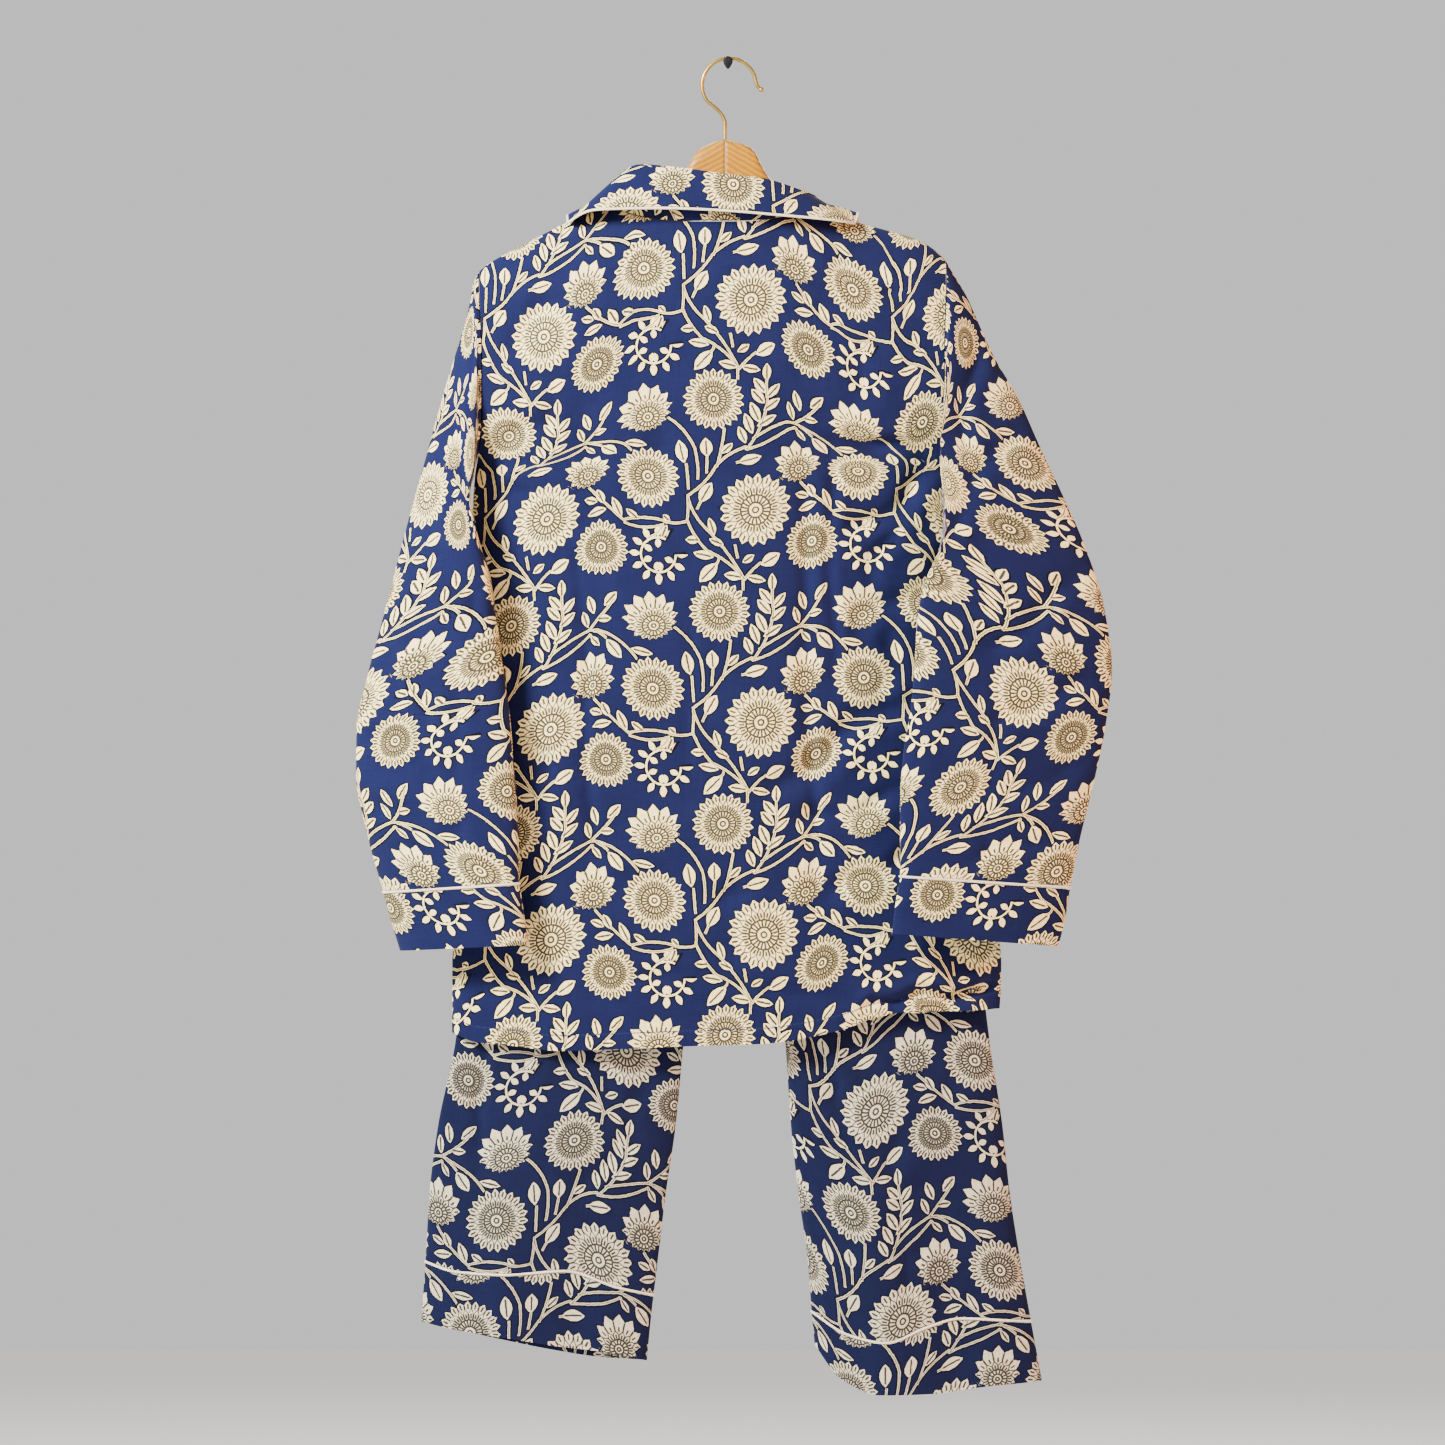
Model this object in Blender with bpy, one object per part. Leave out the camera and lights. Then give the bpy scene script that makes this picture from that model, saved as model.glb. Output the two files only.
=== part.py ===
"""Pyjama jacket and trousers on a wooden clothes hanger, hung from a small wall nail.

The back of the garment faces -Y. The hook rests on the nail at the origin, +Z is up.
Tables are in millimetres; points become metres when a mesh is made.
"""

from collections import namedtuple
import math

import bmesh
import bpy
import numpy as np

MM = 0.001

# Cloth
WALL = 1.2
SEAM_GAP = 0.3
PIPING_RADIUS = 1.0
PIPING_SEAM = 2 * PIPING_RADIUS + 3 * SEAM_GAP
PIPING_SIDES = 5
PIPING_SINK = 0.15
COLLAR_LAYER_GAP = 2.6
OVERLAP_LIFT = WALL + 4 * SEAM_GAP

# Jacket body: edges of the back panel at each level, and how far round the sides it closes.
Level = namedtuple("Level", "z left right edge_angle back_depth front_depth")
BODY_LEVELS = (
    Level(-130, -206, 183, 35, 30, 27),
    Level(-180, -209, 183, 35, 31, 28),
    Level(-250, -206, 181, 36, 32, 28),
    Level(-300, -206, 182, 45, 32, 28),
    Level(-328, -209, 187, 66, 32, 28),
    Level(-350, -213, 194, 90, 32, 28),
    Level(-420, -217, 200, 90, 31, 27),
    Level(-560, -222, 213, 90, 29, 26),
    Level(-700, -230, 222, 90, 27, 25),
    Level(-760, -232, 230, 90, 26, 24),
    Level(-832, -232, 226, 90, 25, 23),
)
SHOULDER_DROP = 150
UNDERARM_Z = -350
ARMHOLE_TOP_LEFT = -178
ARMHOLE_TOP_RIGHT = -169
FIRST_GUESS_TOP = -170
FIRST_GUESS_LENGTH = 650
SETTLE_STEPS = 30

# Ridge of the shoulders over the hanger, then the hem, as x and z.
Point = namedtuple("Point", "x z")
SHOULDER_LINE = (
    Point(-216, -186), Point(-209, -177), Point(-202, -171), Point(-177, -157), Point(-150, -143),
    Point(-109, -123), Point(-57, -101), Point(-3, -87), Point(45, -104), Point(84, -124),
    Point(104, -134), Point(132, -142), Point(156, -149), Point(171, -157), Point(183, -168),
    Point(190, -180),
)
JACKET_HEM = (
    Point(-232, -817), Point(-211, -825), Point(-188, -827), Point(-141, -832), Point(-85, -830),
    Point(-35, -828), Point(28, -826), Point(59, -822), Point(96, -814), Point(123, -805),
    Point(153, -799), Point(195, -798), Point(226, -797),
)
FRONT_HEM_RISE = 4

# Neck and closure
NECK_LEFT_X = -109
NECK_RIGHT_X = 84
NECK_BACK_Z = -136.5
NECK_FLATNESS = 4.0
CLOSURE_X = -8
CLOSURE_TOP_Z = -250
NECK_FRONT_BOW = 14
BELOW_HEM_Z = -900
CLOSURE_OVERLAP = 15
LAP_START = 38
LAP_EASE = 20
BUTTON_LEVELS = (-275, -415, -555, -695)
BUTTON_RADIUS = 6.0
BUTTON_THICKNESS = 2.6
BUTTON_STAND = 0.4

# Largest folds of the cloth: a line from one end to the other, its half width and its depth.
Fold = namedtuple("Fold", "x0 z0 x1 z1 width depth")
BACK_FOLDS = (
    Fold(-120, -300, -112, -690, 15, 2.6),
    Fold(62, -380, 76, -680, 15, 2.6),
    Fold(100, -326, 176, -322, 13, 4.0),
    Fold(128, -188, 176, -214, 12, 3.5),
    Fold(118, -792, 170, -782, 14, -6.0),
)
FRONT_FOLDS = (
    Fold(-110, -330, -120, -680, 15, 2.6),
    Fold(90, -360, 84, -700, 15, 2.6),
)

# Sleeves: outer and inner end of each ring, where they lie along Y, half the ring's depth, and how
# far the ring's back bows over the body.
Ring = namedtuple("Ring", "outer_x outer_z inner_x inner_z outer_y inner_y half_depth bow")
SLEEVE_LEFT_RINGS = (
    Ring(-221, -202, -222, -364, 0, -3, 30, 6),
    Ring(-224, -231, -221, -378, 0, -13, 27, 10),
    Ring(-236, -269, -214, -394, -2, -26, 24, 8),
    Ring(-248, -312, -206, -412, -5, -36, 22, 4),
    Ring(-260, -359, -200, -432, -8, -41, 21, 0),
    Ring(-277, -422, -195, -463, -10, -42, 20, 0),
    Ring(-290, -470, -189, -506, -10, -42, 19, 0),
    Ring(-303, -518, -183, -548, -10, -42, 19, 0),
    Ring(-312, -562, -180, -585, -10, -42, 19, 0),
    Ring(-312, -600, -178, -612, -10, -42, 18, 0),
    Ring(-303, -648, -176, -650, -10, -42, 18, 0),
    Ring(-289, -699, -175, -691, -10, -42, 18, 0),
)
CUFF_LEFT_RINGS = (
    Ring(-283, -723, -171, -716, -10, -42, 18, 0),
    Ring(-275, -748, -167, -742, -10, -42, 17, 0),
)
SLEEVE_RIGHT_RINGS = (
    Ring(196, -190, 208, -366, 0, -4, 31, 14),
    Ring(209, -212, 206, -382, -1, -16, 29, 26),
    Ring(223, -248, 193, -394, -4, -30, 23, 30),
    Ring(243, -283, 181, -406, -8, -39, 19, 24),
    Ring(262, -326, 171, -424, -12, -44, 16, 14),
    Ring(281, -366, 163, -444, -15, -44, 14, 6),
    Ring(300, -410, 158, -474, -18, -44, 13, 0),
    Ring(316, -462, 156, -508, -20, -43, 12, 0),
    Ring(322, -512, 153, -544, -20, -42, 12, 0),
    Ring(317, -556, 147, -580, -20, -42, 12, 0),
    Ring(306, -610, 144, -624, -20, -42, 12, 0),
    Ring(295, -655, 144, -655, -20, -42, 12, 0),
    Ring(287, -695, 144, -685, -20, -42, 12, 0),
)
CUFF_RIGHT_RINGS = (
    Ring(283, -720, 140, -708, -20, -42, 12, 0),
    Ring(277, -744, 137, -733, -20, -42, 12, 0),
)
SLEEVE_POINTS = 20
ARMHOLE_BLEND_RINGS = 2
ARMHOLE_GAP = 0.9

# Collar: seam on the neck, fold, and lower edge, from the left front round the back to the right.
CollarRow = namedtuple("CollarRow", "w fold_x fold_y fold_z edge_x edge_y edge_z")
COLLAR_ROWS = (
    CollarRow(-1.00, -42, 38, -190, -74, 46, -222),
    CollarRow(-0.80, -72, 31, -162, -112, 36, -186),
    CollarRow(-0.62, -93, 16, -124, -131, 16, -143),
    CollarRow(-0.54, -98, 4, -112, -134, 1, -128.5),
    CollarRow(-0.46, -99, -8, -107, -133, -12, -135),
    CollarRow(-0.30, -74, -25, -89, -112, -31, -126),
    CollarRow(-0.15, -40, -29, -92, -55, -36, -124.5),
    CollarRow(0.00, -4, -30, -97, -4, -38, -126.5),
    CollarRow(0.15, 30, -29, -101, 40, -36, -130),
    CollarRow(0.30, 57, -25, -109, 84, -30, -134),
    CollarRow(0.46, 75, -9, -115.5, 105, -13, -136),
    CollarRow(0.54, 77, 3, -118, 108, 1, -127),
    CollarRow(0.62, 76, 15, -127, 108, 16, -141),
    CollarRow(0.80, 58, 31, -156, 97, 35, -182),
    CollarRow(1.00, 26, 38, -190, 58, 45, -222),
)
COLLAR_STEPS = 25
COLLAR_CORNER = 0.5
COLLAR_SEAT_RISE = 1.0
COLLAR_SEAT_IN = 1.9
COLLAR_END_Z = -186

# Trousers: edges of both legs at each level; above the crotch the inner edges are one seam.
LegLevel = namedtuple("LegLevel", "z left_outer left_inner right_inner right_outer half_depth")
TROUSER_LEVELS = (
    LegLevel(-208, -181.2, 2, 2, 176.2, 13),
    LegLevel(-320, -188, 2, 2, 177, 15),
    LegLevel(-450, -192, 2, 2, 178, 14),
    LegLevel(-600, -204, -10, 25, 194, 13),
    LegLevel(-700, -216, -22, 35, 206, 12),
    LegLevel(-823, -229, -37, 48, 220, 11),
    LegLevel(-896, -244, -44, 53, 231, 13),
    LegLevel(-951, -251, -52, 59, 237, 15),
    LegLevel(-1009, -254.5, -59, 67, 246, 17),
    LegLevel(-1060, -258, -65, 71, 255, 18),
    LegLevel(-1125, -261, -71, 78, 267, 18),
)
CROTCH_Z = -450
CROTCH_PINCH = 130
LegLine = namedtuple("LegLine", "across back front")
PIPING_LEFT = (
    LegLine(0.00, -1010, -1010), LegLine(0.14, -1018, -1018), LegLine(0.35, -1020, -1028),
    LegLine(0.60, -1017, -1034), LegLine(0.84, -1031, -1040), LegLine(1.00, -1038, -1038),
)
HEM_LEFT = (
    LegLine(0.00, -1060, -1060), LegLine(0.14, -1066, -1067), LegLine(0.35, -1072, -1077),
    LegLine(0.60, -1080, -1086), LegLine(0.84, -1086, -1092), LegLine(1.00, -1093, -1093),
)
PIPING_RIGHT = (
    LegLine(0.00, -1052, -1052), LegLine(0.16, -1071, -1066), LegLine(0.32, -1077, -1070),
    LegLine(0.52, -1064, -1070), LegLine(0.68, -1057, -1068), LegLine(1.00, -1060, -1060),
)
HEM_RIGHT = (
    LegLine(0.00, -1080, -1080), LegLine(0.10, -1108, -1100), LegLine(0.26, -1121, -1112),
    LegLine(0.50, -1120, -1114), LegLine(0.75, -1114, -1112), LegLine(1.00, -1110, -1110),
)
LEG_FOLDS = (
    Fold(-207, -815, -210, -915, 10, 4.0),
    Fold(68, -818, 92, -875, 12, 4.0),
    Fold(118, -960, 135, -1110, 22, -5.0),
    Fold(190, -980, 196, -1110, 22, 5.0),
    Fold(-190, -960, -186, -1080, 20, -4.0),
    Fold(-120, -960, -126, -1085, 20, 4.0),
)

WAISTBAND_TOP = -176
WAISTBAND_HEIGHT = 30
WAISTBAND_HALF_DEPTH = 11.5
WAIST_SEAM_Z = WAISTBAND_TOP - WAISTBAND_HEIGHT
WAISTBAND_FULLNESS = 0.4

# Hanger: top line, height below it, and thickness along one arm, as a distance from the centre.
ArmStation = namedtuple("ArmStation", "reach left_top right_top height half_thickness")
HANGER_CENTRE_X = -2.5
HANGER_STATIONS = (
    ArmStation(0.2, -66, -66, 62, 7.0),
    ArmStation(9, -68, -67.5, 62, 7.0),
    ArmStation(20, -73, -71, 59, 7.0),
    ArmStation(26, -79, -77, 55, 7.0),
    ArmStation(30, -87, -86, 48, 7.0),
    ArmStation(37, -95.5, -98, 43, 6.8),
    ArmStation(48, -104, -109.5, 39, 6.5),
    ArmStation(75, -118, -125, 32, 5.6),
    ArmStation(107, -129, -137, 26, 5.2),
    ArmStation(134, -141.6, -145.2, 23, 5.2),
    ArmStation(157, -153.6, -153.8, 21, 5.2),
    ArmStation(168, -162, -162, 18, 4.6),
    ArmStation(174, -170, -171, 11, 3.4),
    ArmStation(176, -176, -177.5, 4, 1.6),
)
HANGER_SIDES = 12
HANGER_SQUARENESS = 0.55

# Hook wire: a round crook on a straight stem, with its free end turned out.
WIRE_RADIUS = 1.6
CROOK_RADIUS = 22.7
CROOK_CENTRE = Point(1, -20.3)
HOOK_STEM = (Point(-2.5, -65.7), Point(-2.5, -58), Point(-2.5, -52), Point(-4.5, -46), Point(-12, -38))
HOOK_END = (Point(24.6, -20.5), Point(28, -24))
CROOK_START_DEGREES = 214
CROOK_END_DEGREES = 8
CROOK_STEPS = 16

# Nail
NAIL_RADIUS = 1.5
NAIL_AXIS_Z = -NAIL_RADIUS - SEAM_GAP / 2
NAIL_SIDES = 12
NAIL_HEAD_RADIUS = 3.8
NAIL_HEAD_POINT = 3.4
NAIL_FRONT_Y = -6.5
NAIL_HEAD_THICKNESS = 2.4
WALL_FACE_Y = 42

# How finely the cloth is divided: shares of a panel's width or length.
BACK_COLUMNS = np.array([-1, -0.9, -0.78, -0.64, -0.468, -0.36, -0.24, -0.12, 0,
                         0.12, 0.24, 0.36, 0.4655, 0.64, 0.78, 0.9, 1])
BACK_ROWS = np.array([0, 0.004, 0.014, 0.04, 0.09, 0.16, 0.23, 0.29, 0.34, 0.42, 0.52, 0.63, 0.75, 0.87, 0.95, 1])
FRONT_COLUMNS = np.array([0, 0.012, 0.05, 0.12, 0.22, 0.34, 0.48, 0.62, 0.73, 0.81, 0.88, 1])
FRONT_ROWS = np.array([0, 0.004, 0.014, 0.04, 0.09, 0.16, 0.23, 0.29, 0.34, 0.45, 0.6, 0.75, 0.88, 1])
LEG_COLUMNS = 11
LEG_ROWS = np.array([0, 0.1, 0.2, 0.26, 0.32, 0.4, 0.5, 0.6, 0.7, 0.77, 0.84, 0.92, 1])
BAND_POINTS = 2 * (LEG_COLUMNS - 1)
BAND_ROWS = np.array([0, 0.5, 1])
WAISTBAND_POINTS = 28

PRINT_COLOUR = (0.045, 0.075, 0.27)
TROUSER_COLOUR = (0.05, 0.085, 0.28)
PIPING_COLOUR = (0.80, 0.75, 0.62)
WOOD_COLOUR = (0.74, 0.45, 0.17)
BRASS_COLOUR = (0.66, 0.55, 0.33)
NAIL_COLOUR = (0.01, 0.01, 0.01)
BUTTON_COLOUR = (0.82, 0.78, 0.66)


def curve_through(knots, values):
    """Smooth curve through table values that never swings past two neighbours."""
    knots = np.asarray(knots, float)
    values = np.asarray(values, float)
    steps = np.diff(values) / np.diff(knots)
    slopes = np.zeros_like(values)
    slopes[0] = steps[0]
    slopes[-1] = steps[-1]
    same_way = steps[:-1] * steps[1:] > 0
    total = np.where(same_way, steps[:-1] + steps[1:], 1.0)
    slopes[1:-1] = np.where(same_way, 2 * steps[:-1] * steps[1:] / total, 0.0)

    def at(place):
        place = np.clip(place, knots[0], knots[-1])
        i = np.clip(np.searchsorted(knots, place, side="right") - 1, 0, len(knots) - 2)
        span = knots[i + 1] - knots[i]
        t = (place - knots[i]) / span
        start = (1 + 2 * t) * (1 - t) ** 2 * values[i] + t * (1 - t) ** 2 * span * slopes[i]
        end = t * t * (3 - 2 * t) * values[i + 1] + t * t * (t - 1) * span * slopes[i + 1]
        return start + end

    return at


def column(table, name, key):
    """Curve of one named column of a table against its key column."""
    rows = sorted(table, key=lambda row: getattr(row, key))
    return curve_through([getattr(row, key) for row in rows], [getattr(row, name) for row in rows])


shoulder_z = column(SHOULDER_LINE, "z", "x")
hem_z = column(JACKET_HEM, "z", "x")
body_left = column(BODY_LEVELS, "left", "z")
body_right = column(BODY_LEVELS, "right", "z")
body_angle = column(BODY_LEVELS, "edge_angle", "z")
back_depth = column(BODY_LEVELS, "back_depth", "z")
front_depth = column(BODY_LEVELS, "front_depth", "z")


def fold_height(folds, x, z):
    """How far the folds in a table move the cloth outwards at a place."""
    height = np.zeros_like(x)
    for fold in folds:
        along = np.array([fold.x1 - fold.x0, fold.z1 - fold.z0], float)
        length = np.hypot(*along)
        along /= length
        run = (x - fold.x0) * along[0] + (z - fold.z0) * along[1]
        side = (z - fold.z0) * along[0] - (x - fold.x0) * along[1]
        past = np.maximum(0, np.maximum(-run, run - length))
        height = height - fold.depth * np.exp(-(side / fold.width) ** 2 - (past / (2 * fold.width)) ** 2)
    return height


def body_depth(x, z, depth_at, folds):
    """Distance of the jacket's cloth from the middle plane, at x and z."""
    middle = (body_left(z) + body_right(z)) / 2
    half = (body_right(z) - body_left(z)) / 2
    turn = np.clip((x - middle) / half, -1, 1) * np.sin(np.radians(body_angle(z)))
    round_side = np.sqrt(np.maximum(0, 1 - turn ** 2))
    drop = np.clip((shoulder_z(x) - z) / SHOULDER_DROP, 0, 1)
    over_shoulder = np.sqrt(1 - (1 - drop) ** 2)
    lifted = fold_height(folds, x, z) * round_side * over_shoulder
    return depth_at(z) * over_shoulder * round_side + lifted


def neck_z(x):
    """Neck seam of the back, level in the middle and rising to the shoulders."""
    middle = (NECK_LEFT_X + NECK_RIGHT_X) / 2
    half = (NECK_RIGHT_X - NECK_LEFT_X) / 2
    side = np.abs((x - middle) / half) ** NECK_FLATNESS
    return NECK_BACK_Z + (shoulder_z(x) - NECK_BACK_Z) * np.clip(side, 0, 1)


def back_top_z(x):
    """Upper edge of the back: shoulder seams and neck seam."""
    in_neck = (x > NECK_LEFT_X) & (x < NECK_RIGHT_X)
    return np.where(in_neck, neck_z(x), shoulder_z(x))


def settle(x_at, z_at, across, down):
    """Points whose x depends on z and whose z depends on x."""
    z = FIRST_GUESS_TOP - FIRST_GUESS_LENGTH * down + 0 * across
    for _ in range(SETTLE_STEPS):
        x = x_at(z)
        z = 0.5 * z + 0.5 * z_at(x)
    return x, z


def back_points(fractions, rows):
    """Outer points of the back: rows from the top edge to the hem, columns left to right."""
    across = fractions[None, :]
    down = rows[:, None]

    def x_at(z):
        angle = np.radians(body_angle(z))
        middle = (body_left(z) + body_right(z)) / 2
        half = (body_right(z) - body_left(z)) / 2
        return middle + half * np.sin(across * angle) / np.sin(angle)

    def z_at(x):
        top = back_top_z(x)
        return top + (hem_z(x) - top) * down

    x, z = settle(x_at, z_at, across, down)
    y = -(SEAM_GAP / 2 + body_depth(x, z, back_depth, BACK_FOLDS))
    return np.stack([x, y, z], axis=-1)


def neckline_edge(side):
    """Edge of a front from the neck side down to the closure, then to the hem, as x of z."""
    start_x = NECK_LEFT_X if side < 0 else NECK_RIGHT_X
    start_z = float(shoulder_z(np.array(float(start_x))))
    end_x = CLOSURE_X - side * CLOSURE_OVERLAP
    return curve_through([BELOW_HEM_Z, CLOSURE_TOP_Z, (CLOSURE_TOP_Z + start_z) / 2, start_z],
                         [end_x, end_x, (end_x + start_x) / 2 + side * NECK_FRONT_BOW, start_x])


def front_points(side, fractions, rows):
    """Outer points of one front, from its side seam to its closure edge."""
    across = fractions[None, :]
    down = rows[:, None]
    edge = neckline_edge(side)
    outer = body_left if side < 0 else body_right

    def x_at(z):
        return outer(z) + (edge(z) - outer(z)) * across

    def z_at(x):
        top = shoulder_z(x)
        return top + (hem_z(x) + FRONT_HEM_RISE - top) * down

    x, z = settle(x_at, z_at, across, down)
    y = SEAM_GAP / 2 + body_depth(x, z, front_depth, FRONT_FOLDS)
    if side > 0:
        near = np.clip((CLOSURE_X + LAP_START - x) / LAP_EASE, 0, 1)
        y = y + OVERLAP_LIFT * near * near * (3 - 2 * near)
    return np.stack([x, y, z], axis=-1)


def armhole_ring(side):
    """Ring round one armhole: shoulder, back, underarm, front, a seam gap outside the body."""
    edge = body_left if side < 0 else body_right
    top_z = ARMHOLE_TOP_LEFT if side < 0 else ARMHOLE_TOP_RIGHT
    turn = np.linspace(0, 2 * math.pi, SLEEVE_POINTS, endpoint=False)
    z = (top_z + UNDERARM_Z) / 2 + (top_z - UNDERARM_Z) / 2 * np.cos(turn)
    x = edge(z)
    back = -body_depth(x, z, back_depth, ())
    front = body_depth(x, z, front_depth, ())
    y = np.where(turn < math.pi, back, front)
    y[0] = 0
    y[SLEEVE_POINTS // 2] = 0
    return np.stack([x + side * ARMHOLE_GAP, y, z], axis=-1)


def sleeve_ring(row):
    """Flattened ring between the outer and the inner end of a row."""
    outer = np.array([row.outer_x, row.outer_y, row.outer_z], float)
    inner = np.array([row.inner_x, row.inner_y, row.inner_z], float)
    centre = (outer + inner) / 2
    major = (outer - inner) / 2
    unit = major / np.linalg.norm(major)
    minor = np.array([0, -1, 0]) + unit[1] * unit
    minor /= np.linalg.norm(minor)
    turn = np.linspace(0, 2 * math.pi, SLEEVE_POINTS, endpoint=False)
    fullness = np.sign(np.sin(turn)) * np.abs(np.sin(turn)) ** 0.85
    ring = centre + np.outer(np.cos(turn), major) + np.outer(fullness, minor) * row.half_depth
    towards_body = math.copysign(row.bow, -row.outer_x)
    ring[:, 0] += towards_body * np.maximum(0, np.sin(turn)) ** 2
    return ring


def between(first, last, share):
    """Row between two rows of the same kind."""
    return type(first)(*[a + (b - a) * share for a, b in zip(first, last)])


def sleeve_points(side, rows):
    """Rings of a sleeve, from the armhole to the cuff seam."""
    armhole = armhole_ring(side)
    rings = [armhole]
    for index, row in enumerate(rows):
        ring = sleeve_ring(row)
        share = min(1.0, (index + 1) / (ARMHOLE_BLEND_RINGS + 1))
        rings.append(armhole * (1 - share) + ring * share)
    points = np.array(rings)
    last_length = abs(rows[-1].outer_z - rows[-2].outer_z)
    lower = between(rows[-2], rows[-1], 1 - PIPING_SEAM / 2 / last_length)
    points[-1] = sleeve_ring(lower)
    return points


def cuff_points(sleeve_end, rows):
    """Rings of a cuff band, which starts just below the piping."""
    first_length = abs(rows[0].outer_z - sleeve_end.outer_z)
    upper = between(sleeve_end, rows[0], PIPING_SEAM / 2 / first_length)
    return np.array([sleeve_ring(row) for row in (upper,) + tuple(rows)])


def normals(points, closed):
    """Normals of a grid of points, whose last column joins the first when it is closed."""
    if closed:
        across = np.roll(points, -1, axis=1) - np.roll(points, 1, axis=1)
    else:
        across = np.gradient(points, axis=1)
    down = np.gradient(points, axis=0)
    normal = np.cross(across, down)
    return normal / np.linalg.norm(normal, axis=-1, keepdims=True)


def flatten(normal, axis):
    """Normals with one component taken out, so that an edge stays in its seam's plane."""
    normal = normal.copy()
    normal[..., axis] = 0
    return normal / np.maximum(1e-9, np.linalg.norm(normal, axis=-1, keepdims=True))


def make_material(name, colour, roughness, metallic=0.0):
    """Principled material of one sub-part."""
    material = bpy.data.materials.new(name)
    material.use_nodes = True
    shader = material.node_tree.nodes["Principled BSDF"]
    shader.inputs["Base Color"].default_value = (*colour, 1.0)
    shader.inputs["Roughness"].default_value = roughness
    shader.inputs["Metallic"].default_value = metallic
    return material


def make_object(name, points, faces, material):
    """Object with a mesh from points in millimetres."""
    mesh = bpy.data.meshes.new(name)
    mesh.from_pydata([tuple(point * MM) for point in points], [], faces)
    shape = bmesh.new()
    shape.from_mesh(mesh)
    bmesh.ops.recalc_face_normals(shape, faces=shape.faces)
    shape.to_mesh(mesh)
    shape.free()
    mesh.materials.append(material)
    mesh.validate()
    mesh.shade_smooth()
    mesh.set_sharp_from_angle(angle=math.radians(50))
    made = bpy.data.objects.new(name, mesh)
    bpy.context.collection.objects.link(made)
    return made


def wall_faces(rows, columns, closed):
    """Faces of a wall: outer grid, inner grid turned round, and rims."""
    count = rows * columns
    faces = []
    spans = columns if closed else columns - 1
    for r in range(rows - 1):
        for c in range(spans):
            d = (c + 1) % columns
            a, b = r * columns + c, r * columns + d
            e, f = a + columns, b + columns
            faces.append((a, b, f, e))
            faces.append((a + count, e + count, f + count, b + count))
    for c in range(spans):
        d = (c + 1) % columns
        top_a, top_b = c, d
        low_a, low_b = (rows - 1) * columns + c, (rows - 1) * columns + d
        faces.append((top_b, top_a, top_a + count, top_b + count))
        faces.append((low_a, low_b, low_b + count, low_a + count))
    if not closed:
        for r in range(rows - 1):
            left, left_low = r * columns, (r + 1) * columns
            right, right_low = left + columns - 1, left_low + columns - 1
            faces.append((left, left_low, left_low + count, left + count))
            faces.append((right_low, right, right + count, right_low + count))
    return faces


def make_wall(name, outer, inner, closed, material):
    """Closed wall between two grids of points."""
    rows, columns, _ = outer.shape
    points = np.concatenate([outer.reshape(-1, 3), inner.reshape(-1, 3)])
    return make_object(name, points, wall_faces(rows, columns, closed), material)


def panel_wall(name, outer, towards, material, hold):
    """Wall of a panel whose held edges keep their seam's plane; towards is -1 or 1 along Y."""
    normal = normals(outer, False)
    if np.sum(normal[..., 1]) * towards < 0:
        normal = -normal
    for rows, columns, axis in hold:
        normal[rows, columns] = flatten(normal[rows, columns], axis)
    make_wall(name, outer, outer - normal * WALL, False, material)


def tube_wall(name, outer, material, hold_first=None):
    """Wall of a tube whose rings run from the outer end over the back and the inner end."""
    normal = normals(outer, True)
    centre = outer.mean(axis=1, keepdims=True)
    if np.sum(normal * (outer - centre)) < 0:
        normal = -normal
    if hold_first is not None:
        normal[0] = flatten(normal[0], hold_first)
    make_wall(name, outer, outer - normal * WALL, True, material)


def cord_along(name, path, radius, material, closed):
    """Piping: a small round cord along a path of points."""
    path = np.asarray(path, float)
    if closed:
        run = np.roll(path, -1, axis=0) - np.roll(path, 1, axis=0)
    else:
        run = np.gradient(path, axis=0)
    run /= np.linalg.norm(run, axis=1, keepdims=True)
    up = np.array([0.0, 0.0, 1.0]) - run * run[:, 2:3]
    up /= np.linalg.norm(up, axis=1, keepdims=True)
    side = np.cross(run, up)
    turns = np.linspace(0, 2 * math.pi, PIPING_SIDES, endpoint=False)
    rings = np.array([path + radius * (up * math.cos(t) + side * math.sin(t)) for t in turns])
    rings = rings.transpose(1, 0, 2)
    count = len(path)
    faces = []
    for r in range(count if closed else count - 1):
        for c in range(PIPING_SIDES):
            d = (c + 1) % PIPING_SIDES
            low = ((r + 1) % count) * PIPING_SIDES
            faces.append((r * PIPING_SIDES + c, r * PIPING_SIDES + d, low + d, low + c))
    if not closed:
        faces.append(tuple(reversed(range(PIPING_SIDES))))
        faces.append(tuple((count - 1) * PIPING_SIDES + c for c in range(PIPING_SIDES)))
    return make_object(name, rings.reshape(-1, 3), faces, material)


def build_jacket_body(cloth):
    """Back and two fronts, parted at the shoulder, side and centre."""
    outer = back_points(BACK_COLUMNS, BACK_ROWS)
    in_armhole = outer[:, 0, 2] > UNDERARM_Z
    first_low = int(np.argmin(in_armhole))
    neck = (outer[0, :, 0] > NECK_LEFT_X + 1) & (outer[0, :, 0] < NECK_RIGHT_X - 1)
    hold = [
        (slice(1, first_low), 0, 0), (slice(1, first_low), -1, 0),
        (slice(first_low, None), 0, 1), (slice(first_low, None), -1, 1),
        (0, np.where(~neck)[0], 1),
    ]
    panel_wall("jacket_back", outer, -1, cloth, hold)
    for side, name in ((-1, "jacket_front_left"), (1, "jacket_front_right")):
        outer = front_points(side, FRONT_COLUMNS, FRONT_ROWS)
        first_low = int(np.argmin(outer[:, 0, 2] > UNDERARM_Z))
        hold = [(slice(1, first_low), 0, 0), (slice(first_low, None), 0, 1), (0, slice(None), 1)]
        panel_wall(name, outer, 1, cloth, hold)


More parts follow.
